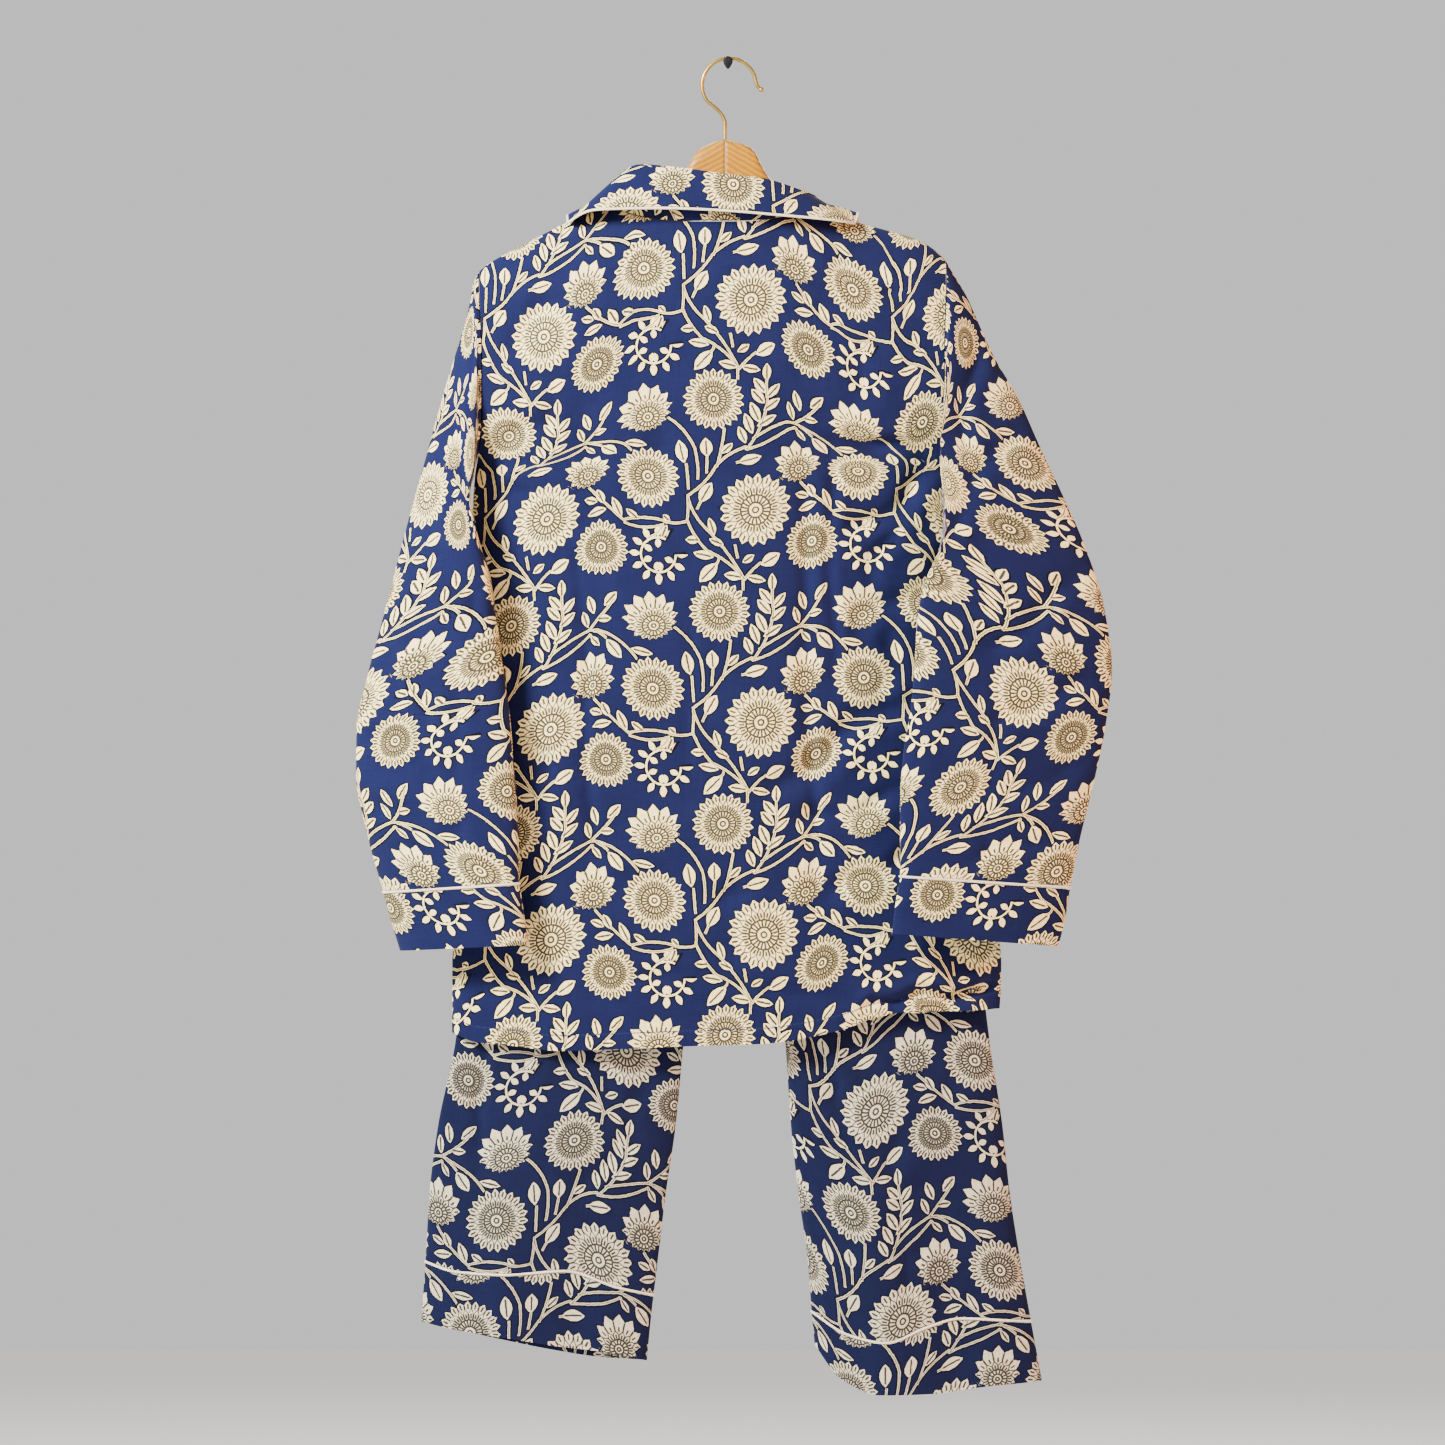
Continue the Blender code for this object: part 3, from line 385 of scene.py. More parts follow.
@dataclass
class ClothShell:
    """Thin shell of cotton on a grid of outer points, with its flat cloth coordinates.

    Attributes:
        name: Name of the piece.
        outer: Outer points in mm, rows down and columns across.
        closed: Whether the last column joins the first.
        print_start: Print's coordinates in mm at the reference point.
        reference: Row and column of the reference point.
        across_sign: Way that the print runs along the columns.
        towards: Sign along Y of an open shell's outer side.
        thickness: Thickness of the cloth in mm.
        stitch: Signed distance in mm of each point from the stitched line.
        doubled: Whether two layers of cloth lie back to back, so that both sides are printed.
        turned_cells: Cells at an edge whose inner side is turned in, and so printed.
        unstitched: Distance in mm that stands for no stitching.
    """

    name: str
    outer: Array
    closed: bool
    print_start: tuple[float, float]
    reference: tuple[int, int]
    across_sign: float = 1.0
    towards: float = -1.0
    thickness: float = 0.7
    stitch: Optional[Array] = None
    doubled: bool = False
    turned_cells: int = 3
    unstitched: float = 100.0

    def outward(self) -> Array:
        """Normals that point out of the garment."""
        normal = grid_normals(self.outer, self.closed)
        if self.closed:
            away = self.outer - self.outer.mean(axis=1, keepdims=True)
            sign = np.sum(normal * away)
        else:
            sign = np.sum(normal[..., 1]) * self.towards
        return normal if sign > 0 else -normal

    def shift(self, height: Array) -> None:
        """Move the outer points out by a height in mm."""
        self.outer = self.outer + self.outward() * height[..., None]

    def unrolled(self) -> Array:
        """Outer points with the first column repeated last when the shell is closed."""
        if self.closed:
            return np.concatenate([self.outer, self.outer[:, :1]], axis=1)
        return self.outer

    def flat(self) -> Array:
        """Flat cloth coordinates of the unrolled points, from lengths along the cloth."""
        points = self.unrolled()
        row, col = self.reference
        u = lengths_along(points, 1)
        u = u - u[:, col:col + 1]
        v = -lengths_along(points, 0)
        v = v - v[row:row + 1, :]
        return np.stack([self.print_start[0] + self.across_sign * u, self.print_start[1] + v], axis=-1)

    def cut(self) -> tuple[float, float, float]:
        """Width, length and area of the flat cloth, in metres."""
        points = self.unrolled()
        width = lengths_along(points, 1).max() * MM
        length = lengths_along(points, 0).max() * MM
        a, b = points[:-1, :-1], points[:-1, 1:]
        c, d = points[1:, 1:], points[1:, :-1]
        area = np.linalg.norm(np.cross(c - a, d - b), axis=2).sum() / 2 * MM * MM
        return float(width), float(length), float(min(area, width * length))

    def build(self, material: Material) -> Object:
        """Make the shell's object: outer side, inner side and rims.

        Args:
            material: Finish of the cloth.

        Returns:
            Object with its cloth and bake coordinates.
        """
        rows, cols, _ = self.outer.shape
        normal = self.outward()
        inner = self.outer - normal * self.thickness
        raw = grid_normals(self.outer, self.closed)
        turned = np.sum(raw * normal) < 0
        spans = cols if self.closed else cols - 1
        r, c = np.meshgrid(np.arange(rows - 1), np.arange(spans), indexing="ij")
        r, c = r.ravel(), c.ravel()
        d = (c + 1) % cols
        corner = np.stack([r * cols + c, r * cols + d, (r + 1) * cols + d, (r + 1) * cols + c], axis=1)
        place = np.stack([np.stack([r, c], 1), np.stack([r, c + 1], 1),
                          np.stack([r + 1, c + 1], 1), np.stack([r + 1, c], 1)], axis=1)
        flat = self.flat()
        uv = flat[place[..., 0], place[..., 1]]
        share = np.stack([place[..., 1] / spans, 1 - place[..., 0] / (rows - 1)], axis=-1)
        bake_outer, bake_inner = (share * size + corner_at for size, corner_at in (BAKE_OUTER, BAKE_INNER))
        count = rows * cols
        inner_corner = corner[:, ::-1] + count
        rim_corner, rim_place = self.rims(rows, cols, spans)
        rim_uv = flat[rim_place[..., 0], rim_place[..., 1]]
        slot = np.arange(len(rim_corner)) / len(rim_corner)
        wide = 0.9 / len(rim_corner)
        left, right = 0.005 + 0.98 * slot, 0.005 + 0.98 * (slot + wide)
        low, high = (np.full_like(slot, level) for level in BAKE_RIMS)
        bake_rim = np.stack([np.stack([left, low], 1), np.stack([right, low], 1),
                             np.stack([right, high], 1), np.stack([left, high], 1)], axis=1)
        corners = np.concatenate([corner, inner_corner, rim_corner])
        cloth_uv = np.concatenate([uv, uv[:, ::-1], rim_uv])
        bake_uv = np.concatenate([bake_outer, bake_inner[:, ::-1], bake_rim])
        if turned:
            corners, cloth_uv, bake_uv = corners[:, ::-1], cloth_uv[:, ::-1], bake_uv[:, ::-1]
        points = np.concatenate([self.outer.reshape(-1, 3), inner.reshape(-1, 3)]) * MM
        mesh = bpy.data.meshes.new(self.name)
        mesh.from_pydata(points.tolist(), [], corners.tolist())
        mesh.uv_layers.new(name="Cloth").data.foreach_set("uv", cloth_uv.ravel())
        mesh.uv_layers.new(name="OFBake").data.foreach_set("uv", bake_uv.ravel())
        reverse = np.zeros(len(corners))
        turned_in = np.minimum(r, rows - 2 - r) < self.turned_cells
        if not self.closed:
            turned_in |= np.minimum(c, spans - 1 - c) < self.turned_cells
        reverse[len(corner):2 * len(corner)] = 0 if self.doubled else ~turned_in
        mesh.attributes.new("reverse", "FLOAT", "FACE").data.foreach_set("value", reverse)
        stitch = np.full((rows, cols), self.unstitched) if self.stitch is None else self.stitch
        stitch = np.concatenate([stitch.ravel(), np.full(count, self.unstitched)])
        mesh.attributes.new("stitch", "FLOAT", "POINT").data.foreach_set("value", stitch)
        dress_mesh(mesh, material, 60)
        return add_object(self.name, mesh)

    def rims(self, rows: int, cols: int, spans: int) -> tuple[Array, Array]:
        """Faces that close the cloth's cut edges, and their places in the grid.

        Args:
            rows: Rows of points.
            cols: Columns of points.
            spans: Faces across.

        Returns:
            Corner numbers and row and column places of each rim face.
        """
        count = rows * cols
        corners, places = [], []
        last = rows - 1
        for c in range(spans):
            d = (c + 1) % cols
            corners.append((d, c, c + count, d + count))
            places.append(((0, c + 1), (0, c), (0, c), (0, c + 1)))
            low, low_next = last * cols + c, last * cols + d
            corners.append((low, low_next, low_next + count, low + count))
            places.append(((last, c), (last, c + 1), (last, c + 1), (last, c)))
        if not self.closed:
            end = cols - 1
            for r in range(rows - 1):
                a, b = r * cols, (r + 1) * cols
                corners.append((a, b, b + count, a + count))
                places.append(((r, 0), (r + 1, 0), (r + 1, 0), (r, 0)))
                a, b = a + end, b + end
                corners.append((b, a, a + count, b + count))
                places.append(((r + 1, end), (r, end), (r, end), (r + 1, end)))
        return np.array(corners), np.array(places)


def cord_mesh(name: str, path: Array, radius: float, closed: bool, material: Material,
              sides: int = 10) -> Object:
    """Round cord of bias-cut cotton along a path.

    Args:
        name: Name of the piece.
        path: Middle line in mm.
        radius: Radius in mm.
        closed: Whether the path is a loop.
        material: Finish of the cord.
        sides: Points round the cord.

    Returns:
        Object with a UV map in mm along and round the cord.
    """
    run = np.roll(path, -1, axis=0) - np.roll(path, 1, axis=0) if closed else np.gradient(path, axis=0)
    run = run / np.linalg.norm(run, axis=1, keepdims=True)
    up = np.array([0.0, 0.0, 1.0]) - run * run[:, 2:3]
    up /= np.linalg.norm(up, axis=1, keepdims=True)
    side = np.cross(run, up)
    turn = np.linspace(0, 2 * math.pi, sides, endpoint=False)
    rings = path[:, None] + radius * (up[:, None] * np.cos(turn)[None, :, None]
                                      + side[:, None] * np.sin(turn)[None, :, None])
    count = len(path)
    after = np.roll(path, -1, axis=0)
    lengths = np.concatenate([[0], np.cumsum(np.linalg.norm(after - path, axis=1))])
    faces, uvs = [], []
    round_step = 2 * math.pi * radius / sides
    for r in range(count if closed else count - 1):
        low = (r + 1) % count
        for c in range(sides):
            d = (c + 1) % sides
            faces.append((r * sides + c, r * sides + d, low * sides + d, low * sides + c))
            uvs += [(lengths[r], c * round_step), (lengths[r], (c + 1) * round_step),
                    (lengths[r + 1], (c + 1) * round_step), (lengths[r + 1], c * round_step)]
    if not closed:
        faces.append(tuple(reversed(range(sides))))
        faces.append(tuple((count - 1) * sides + c for c in range(sides)))
        uvs += [(0.0, 0.0)] * (2 * sides)
    mesh = bpy.data.meshes.new(name)
    mesh.from_pydata((rings.reshape(-1, 3) * MM).tolist(), [], faces)
    mesh.uv_layers.new(name="Cloth").data.foreach_set("uv", np.array(uvs).ravel())
    dress_mesh(mesh, material, 60)
    return add_object(name, mesh)


# Materials


def linear(hex_colour: str) -> tuple[float, float, float, float]:
    """Linear colour of an sRGB hex value."""
    parts = [int(hex_colour[i:i + 2], 16) / 255 for i in (1, 3, 5)]
    flat = [p / 12.92 if p <= 0.04045 else ((p + 0.055) / 1.055) ** 2.4 for p in parts]
    return flat[0], flat[1], flat[2], 1.0


def wire(tree: Tree, kind: str, *values, **settings) -> Socket:
    """Add a node with its settings and links.

    Args:
        tree: Node tree to add to.
        kind: Node's type without its ShaderNode prefix, with its operation after a point.
        values: Value or socket for each input in order; None leaves one alone.
        settings: Node properties; a key that isn't one is the name of an input.

    Returns:
        First output socket, or the node's first input if it has no output.
    """
    kind, _, operation = kind.partition(".")
    node = tree.nodes.new("ShaderNode" + kind)
    if operation:
        node.operation = operation
    named = {}
    for key, value in settings.items():
        if hasattr(node, key):
            setattr(node, key, value)
        else:
            named[key.replace("_", " ")] = value
    targets = list(zip(node.inputs, values)) + [(node.inputs[k], v) for k, v in named.items()]
    for socket, value in targets:
        if isinstance(value, Socket):
            tree.links.new(value, socket)
        elif value is not None:
            socket.default_value = value
    return node.outputs[0] if len(node.outputs) else node.inputs[0]


def preset(shader: bpy.types.Node, **values: Union[float, tuple]) -> None:
    """Set the values of a shader that are the same all over."""
    for key, value in values.items():
        shader.inputs[key.replace("_", " ")].default_value = value


def clouded(tree: Tree, shader: bpy.types.Node, colours: tuple[str, str],
            reach: tuple[float, float, float, float], **cloud: float) -> tuple[Socket, Socket]:
    """Colour a shader by clouds between two colours.

    Args:
        tree: Material's node tree.
        shader: Its shader.
        colours: Two hex colours.
        reach: Lowest and highest cloud value, and the second colour's share at each.
        cloud: Settings of the clouds.

    Returns:
        Object coordinates and the clouds.
    """
    where = wire(tree, "TexCoord").node.outputs[3]
    clouds = wire(tree, "TexNoise", where, **cloud)
    tone = wire(tree, "MapRange", clouds, *reach)
    tree.links.new(wire(tree, "MixRGB", tone, *map(linear, colours)), shader.inputs["Base Color"])
    return where, clouds


def blank_material(name: str) -> tuple[Material, Tree, bpy.types.Node]:
    """New material with its node tree and its shader."""
    material = bpy.data.materials.new(name)
    material.use_nodes = True
    tree = material.node_tree
    return material, tree, tree.nodes["Principled BSDF"]


def group_tree(name: str, inputs: dict[str, str], outputs: dict[str, str]) -> tuple:
    """New node group with its input and output nodes.

    Args:
        name: Name of the group.
        inputs: Input names and socket kinds.
        outputs: Output names and socket kinds.

    Returns:
        Tree, the sockets of its inputs by name, and its output node.
    """
    tree = bpy.data.node_groups.new(name, "ShaderNodeTree")
    for key, kind in inputs.items():
        tree.interface.new_socket(name=key, in_out="INPUT", socket_type="NodeSocket" + kind)
    for key, kind in outputs.items():
        tree.interface.new_socket(name=key, in_out="OUTPUT", socket_type="NodeSocket" + kind)
    start = tree.nodes.new("NodeGroupInput")
    return tree, {key: start.outputs[key] for key in inputs}, tree.nodes.new("NodeGroupOutput")


class Flower(NamedTuple):
    """Round or side-view flower of the block, in mm from the block's corner."""

    x: float
    y: float
    radius: float
    petals: int
    squash: float
    turn: float
    lift: float


class Stem(NamedTuple):
    """Stem of the block from end to end, with the height of its bow."""

    x0: float
    y0: float
    x1: float
    y1: float
    sag: float


class Leaf(NamedTuple):
    """Leaf or bud of the block from its stalk to its tip, with its half width."""

    x0: float
    y0: float
    x1: float
    y1: float
    half_width: float


@dataclass(frozen=True)
class FlowerTrellis:
    """Block of a traditional flower and vine trellis, drawn for this piece.

    Attributes:
        width: Repeat across, in mm.
        height: Repeat down, in mm.
        line: Width of the dark key line, in mm; real 0.6, drawn 0.9 so that it shows.
        stem_half_width: Half the width of a stem, in mm.
        curl: Centre and radius of the open ring of small leaves, in mm.
    """

    width: float = 179.0
    height: float = 178.0
    line: float = 0.9
    stem_half_width: float = 1.0
    flowers: tuple[Flower, ...] = rows_of(
        Flower,
        (134.5, -43.5, 26.5, 22, 1, 0, 0), (76.5, -108.5, 27.5, 22, 1, 8, 0),
        (166.5, -137.5, 31.2, 20, 1, 4, 0), (36, -172, 24, 22, 1, 3, 0),
        (76, -47.5, 24.5, 16, 0.84, 20, 0.42), (24.5, -100, 20.4, 14, 1.0, 4, 0.45),
    )
    stems: tuple[Stem, ...] = rows_of(
        Stem,
        (202, -62.5, 242, -84, 5), (167, -76, 202, -62.5, 1.5), (161, -85, 202.5, -66.5, -2.5),
        (160.5, -83, 134, -100, -2), (134, -100, 110, -124, 2), (110, -124, 109, -145.5, 0.5),
        (109, -145.5, 89, -145.5, 1.5), (89, -145, 56, -147, -2.5), (89, -148.5, 56, -149.5, 2.5),
        (96.5, -56.5, 117.5, -84, 2.5), (117.5, -84, 118.5, -110, 1), (143, -68, 135, -100, 1),
        (127.5, -92, 126, -105.5, 0), (109.5, -97.5, 110.5, -118.5, 0), (151.5, -97, 157.5, -95.5, 0),
        (117.5, -135.5, 121.5, -127.5, 0), (156.5, -195, 170.5, -182, 1), (206.5, -63.5, 217, -70, 0.5),
        (135, -177.5, 131.5, -182, 1), (110, -125.5, 124, -151, -2), (124, -151, 155, -193, 2),
        (155, -193, 155, -204, 0), (109.5, -145.5, 125.5, -170.5, -1.5), (125.5, -170.5, 156.5, -195, 2.5),
        (56, -148, 26.5, -121, 1.5), (89, -149.5, 75.5, -160.5, 1.5), (149, -166, 151, -177, 0),
        (202, -62.5, 225, -36, -1.5), (161, -85, 180, -46, -3), (180, -46, 179.5, -26, 0.5),
        (203, -66, 205, -70, 0),
    )
    leaves: tuple[Leaf, ...] = rows_of(
        Leaf,
        (201.5, -60, 197.5, -45.5, 3.1), (207.5, -49.5, 203, -33.5, 3.6), (216.5, -43, 227.5, -30.5, 3.8),
        (209.5, -54.5, 222, -53, 3.1), (203.5, -67.5, 211, -77, 2.7), (237.5, -76.5, 256, -79.5, 3.3),
        (140, -89, 149.5, -80, 2.9), (68, -145, 57.5, -138, 2.9), (94.5, -145.5, 89, -140.5, 2.5),
        (92, -148.5, 87.5, -160, 2.7), (53.5, -145.5, 46, -129.5, 3.6), (40.5, -140, 24.5, -144, 3.5),
        (38.5, -135.5, 33, -124, 3.5), (33, -134, 22, -129.5, 3.1), (132, -157.5, 127.5, -143, 3.1),
        (119.5, -161.5, 107.5, -161, 3.3), (131, -176, 114, -172, 3.5), (127.5, -160.5, 139.5, -166, 3.1),
        (155, -181, 165, -175, 3.1), (155.5, -193.5, 139, -190.5, 3.6), (158, -193, 174, -197.5, 3.3),
        (160.5, -80, 155, -65.5, 3.6), (166.5, -72, 160.5, -54.5, 3.8), (173, -63, 165.5, -45.5, 4),
        (177.5, -47.5, 166.5, -34.5, 3.8), (178.5, -39, 168.5, -25.5, 3.6), (179.5, -29, 179.5, -14, 3.5),
        (170.5, -66, 187, -58, 3.5), (176.5, -53.5, 190.5, -44, 3.6), (179.5, -43, 190.5, -32, 3.5),
        (108, -96.5, 104.5, -76.5, 5.0), (127.5, -92, 127, -76, 5.2), (153.5, -96.5, 173, -92, 4.7),
        (120, -130, 130, -113.5, 5.2), (134, -181, 118.5, -196.5, 5.4), (170.5, -184, 186.5, -176.5, 5.4),
        (217, -71, 229.5, -85.5, 5.0),
    )
    curl: tuple[float, float, float] = (84.5, -174.0, 14.6)

    def around(self, x: float, y: float) -> tuple[tuple, tuple]:
        """Highest and lowest corner of the repeat centred on a place."""
        return ((x + self.width / 2, y + self.height / 2, 0.5),
                (x - self.width / 2, y - self.height / 2, -0.5))

    @staticmethod
    def part_group(name: str, numbers: Sequence[str], outputs: Sequence[str]) -> tuple:
        """Start a group that adds a stem or a leaf to the print.

        Args:
            name: Name of the group.
            numbers: Its inputs that are numbers.
            outputs: Its outputs.

        Returns:
            Tree, its inputs, its output node, the square of the place along and the place across.
        """
        inputs = dict.fromkeys(("Point", "High", "Low", "Place", "Along", "Across"), "Vector")
        tree, of, end = group_tree(name, {**inputs, **dict.fromkeys(numbers, "Float")},
                                   dict.fromkeys(outputs, "Float"))
        near = wire(tree, "VectorMath.WRAP", of["Point"], of["High"], of["Low"])
        local = wire(tree, "VectorMath.SUBTRACT", near, of["Place"])
        x = wire(tree, "VectorMath.DOT_PRODUCT", local, of["Along"]).node.outputs[1]
        y = wire(tree, "VectorMath.DOT_PRODUCT", local, of["Across"]).node.outputs[1]
        return tree, of, end, wire(tree, "Math.MULTIPLY", x, x), y

    def stem_group(self) -> Tree:
        """Group that adds one stem to the shapes' field, in mm inside an edge."""
        tree, of, end, square, y = self.part_group("trellis_stem", ("Sag", "Field"), ("Field",))
        off = wire(tree, "Math.MULTIPLY_ADD", square, of["Sag"], y)
        away = wire(tree, "Math.ABSOLUTE", off)
        past = wire(tree, "Math.MULTIPLY_ADD", square, 12.0, -12.0)
        far = wire(tree, "Math.MAXIMUM", away, past)
        inside = wire(tree, "Math.SUBTRACT", self.stem_half_width, far)
        tree.links.new(wire(tree, "Math.MAXIMUM", of["Field"], inside), end.inputs[0])
        return tree

    def leaf_group(self) -> Tree:
        """Group that adds one leaf to the field, and its vein to the line's distance."""
        tree, of, end, square, y = self.part_group("trellis_leaf", ("Width", "Field", "Line"),
                                                   ("Field", "Line"))
        away = wire(tree, "Math.ABSOLUTE", y)
        share = wire(tree, "Math.SUBTRACT", 1.0, square)
        inside = wire(tree, "Math.MULTIPLY", share, of["Width"])
        inside = wire(tree, "Math.SUBTRACT", inside, away)
        tree.links.new(wire(tree, "Math.MAXIMUM", of["Field"], inside), end.inputs[0])
        past = wire(tree, "Math.MULTIPLY_ADD", square, 5.5, -2.2)
        vein = wire(tree, "Math.MAXIMUM", away, past)
        tree.links.new(wire(tree, "Math.MINIMUM", of["Line"], vein), end.inputs[1])
        return tree

    def lay(self, tree: Tree, point: Socket, group: Tree, part: NamedTuple, sag: float, *rest) -> Socket:
        """Add one stem or leaf to the print.

        Args:
            tree: Material's node tree.
            point: Flat cloth coordinates in mm.
            group: Group of the part.
            part: Stem or leaf.
            sag: Height of its bow in mm.
            rest: Values of the group's last inputs.

        Returns:
            Field with the part in it.
        """
        length = math.hypot(part.x1 - part.x0, part.y1 - part.y0)
        way = ((part.x1 - part.x0) / length, (part.y1 - part.y0) / length)
        x = (part.x0 + part.x1) / 2 - way[1] * sag
        y = (part.y0 + part.y1) / 2 + way[0] * sag
        along = (way[0] * 2 / length, way[1] * 2 / length, 0)
        return wire(tree, "Group", point, *self.around(x, y), (x, y, 0), along, (-way[1], way[0], 0), *rest,
                    node_tree=group)

    def draw(self, tree: Tree, point: Socket) -> tuple:
        """Add the whole block to a material.

        Args:
            tree: Material's node tree.
            point: Flat cloth coordinates in mm.

        Returns:
            Field in mm, above 0 inside a printed shape, and distance in mm from an inner line.
        """
        flower, line = self.draw_flowers(tree, point)
        field = wire(tree, "Value")
        field.default_value = -9.0
        stem, leaf = self.stem_group(), self.leaf_group()
        for part in self.stems:
            field = self.lay(tree, point, stem, part, part.sag, part.sag, field)
        core = wire(tree, "Math.MULTIPLY_ADD", field, -2.6, 2.6)
        covered = wire(tree, "Math.MULTIPLY_ADD", flower, 9.0, 4.5)
        core = wire(tree, "Math.MAXIMUM", core, covered)
        line = wire(tree, "Math.MINIMUM", line, core)
        field = wire(tree, "Math.MAXIMUM", field, flower)
        for part in self.leaves:
            field = self.lay(tree, point, leaf, part, 0, part.half_width, field, line)
            line = field.node.outputs[1]
        return self.draw_curl(tree, point, field), line

    def draw_curl(self, tree: Tree, point: Socket,
                  field: Socket) -> Socket:
        """Add the open ring of small leaves to the field."""
        x, y, radius = self.curl
        high, low = self.around(x, y)
        near = wire(tree, "VectorMath.WRAP", point, high, low)
        local = wire(tree, "VectorMath.SUBTRACT", near, (x, y, 0))
        reach = wire(tree, "VectorMath.LENGTH", local).node.outputs[1]
        part = wire(tree, "SeparateXYZ", local)
        turn = wire(tree, "Math.ARCTAN2", part, part.node.outputs[1])
        out = wire(tree, "Math.SUBTRACT", reach, radius)
        ring = wire(tree, "Math.ABSOLUTE", out)
        both = wire(tree, "Math.SUBTRACT", 0.8, ring)
        for part_turn, middle, half_length in ((0.26, 5.5, 4.8), (0.5, -4.6, 3.9)):
            cell = wire(tree, "Math.WRAP", turn, part_turn, -part_turn)
            side = wire(tree, "Math.MULTIPLY", cell, reach)
            side = wire(tree, "Math.ABSOLUTE", side)
            leaf = wire(tree, "Math.SUBTRACT", out, middle)
            leaf = wire(tree, "Math.DIVIDE", leaf, half_length)
            leaf = wire(tree, "Math.MULTIPLY", leaf, leaf)
            leaf = wire(tree, "Math.MULTIPLY_ADD", leaf, -2.5, 2.5)
            leaf = wire(tree, "Math.SUBTRACT", leaf, side)
            both = wire(tree, "Math.MAXIMUM", leaf, both)
        gap = wire(tree, "Math.SUBTRACT", turn, 1.0)
        gap = wire(tree, "Math.ABSOLUTE", gap)
        gap = wire(tree, "Math.SUBTRACT", gap, 0.55)
        gap = wire(tree, "Math.MULTIPLY", gap, 12.0)
        both = wire(tree, "Math.MINIMUM", both, gap)
        return wire(tree, "Math.MAXIMUM", field, both)

    def draw_flowers(self, tree: Tree, point: Socket) -> tuple:
        """Add the flowers: the nearest one is picked, then drawn once.

        Args:
            tree: Material's node tree.
            point: Flat cloth coordinates in mm.

        Returns:
            Field in mm inside the petals' edge, and distance in mm from an inner line.
        """
        place, facts = None, None
        for f in self.flowers:
            high, low = self.around(f.x, f.y)
            near = wire(tree, "VectorMath.WRAP", point, high, low)
            local = wire(tree, "Mapping", near, (f.x, f.y, 0), (0, 0, math.radians(f.turn)),
                         (f.radius, f.radius * f.squash, 1), vector_type="TEXTURE")
            reach = wire(tree, "VectorMath.LENGTH", local).node.outputs[1]
            chosen = wire(tree, "Math.LESS_THAN", reach, 1.03)
            mine = wire(tree, "VectorMath.SCALE", local, Scale=chosen)
            fact = wire(tree, "VectorMath", (f.radius, f.petals / (2 * math.pi), f.lift),
                        operation="SCALE", Scale=chosen)
            if place is None:
                place, facts = mine, fact
            else:
                place = wire(tree, "VectorMath.ADD", place, mine)
                facts = wire(tree, "VectorMath.ADD", facts, fact)
        radius = wire(tree, "SeparateXYZ", facts)
        petals, lift = radius.node.outputs[1], radius.node.outputs[2]
        rim = wire(tree, "VectorMath.LENGTH", place).node.outputs[1]
        spot = wire(tree, "SeparateXYZ", place)
        raised = wire(tree, "Math.ADD", lift, spot.node.outputs[1])
        turn = wire(tree, "Math.ARCTAN2", raised, spot)
        cell = wire(tree, "Math.MULTIPLY", turn, petals)
        cell = wire(tree, "Math.FRACT", cell)
        cell = wire(tree, "Math.MULTIPLY_ADD", cell, 2.0, -1.0)
        edge = wire(tree, "Math.ABSOLUTE", cell)
        middle = wire(tree, "Math.SUBTRACT", 1.0, edge)
        raised_square = wire(tree, "Math.MULTIPLY", raised, raised)
        heart = wire(tree, "Math.MULTIPLY_ADD", spot, spot, raised_square)
        heart = wire(tree, "Math.SQRT", heart)
        petals = wire(tree, "Math.MAXIMUM", petals, 0.1)
        arc = wire(tree, "Math.MULTIPLY", radius, 0.5)
        arc = wire(tree, "Math.MULTIPLY", arc, heart)
        arc = wire(tree, "Math.DIVIDE", arc, petals)
        between = wire(tree, "Math.MULTIPLY", middle, arc)
        along = wire(tree, "Math.MULTIPLY", edge, arc)
        notch = wire(tree, "Math.MULTIPLY_ADD", lift, -0.2, -0.17)
        notch = wire(tree, "Math.MULTIPLY", notch, heart)
        outer = wire(tree, "Math.MULTIPLY_ADD", edge, notch, 0.98)
        field = wire(tree, "Math.SUBTRACT", outer, rim)
        field = wire(tree, "Math.MULTIPLY", field, radius)
        none = wire(tree, "Math.LESS_THAN", radius, 1.0)
        field = wire(tree, "Math.MULTIPLY_ADD", none, -9.0, field)
        second = wire(tree, "Math.MULTIPLY_ADD", middle, -0.17, 0.74)
        past = wire(tree, "Math.SUBTRACT", heart, second)
        past = wire(tree, "Math.MULTIPLY", past, radius)
        ring = wire(tree, "Math.ABSOLUTE", past)
        short = wire(tree, "Math.MULTIPLY", past, -1.0)
        outer_gap = wire(tree, "Math.MAXIMUM", between, short)
        line = wire(tree, "Math.MINIMUM", ring, outer_gap)
        low = wire(tree, "Math.SUBTRACT", 0.4, heart)
        low = wire(tree, "Math.MULTIPLY", low, radius)
        inner_gap = wire(tree, "Math.MAXIMUM", along, past)
        inner_gap = wire(tree, "Math.MAXIMUM", inner_gap, low)
        line = wire(tree, "Math.MINIMUM", line, inner_gap)
        for band, width, rays in ((0.81, 0.055, along), (0.52, 0.04, between), (0.29, 0.07, between)):
            away = wire(tree, "Math.SUBTRACT", heart, band)
            away = wire(tree, "Math.ABSOLUTE", away)
            away = wire(tree, "Math.SUBTRACT", away, width)
            away = wire(tree, "Math.MULTIPLY", away, radius)
            dash = wire(tree, "Math.MAXIMUM", away, rays)
            line = wire(tree, "Math.MINIMUM", line, dash)
        for band in (0.4, 0.2, 0.075):
            away = wire(tree, "Math.SUBTRACT", heart, band)
            away = wire(tree, "Math.MULTIPLY", away, radius)
            away = wire(tree, "Math.ABSOLUTE", away)
            line = wire(tree, "Math.MINIMUM", line, away)
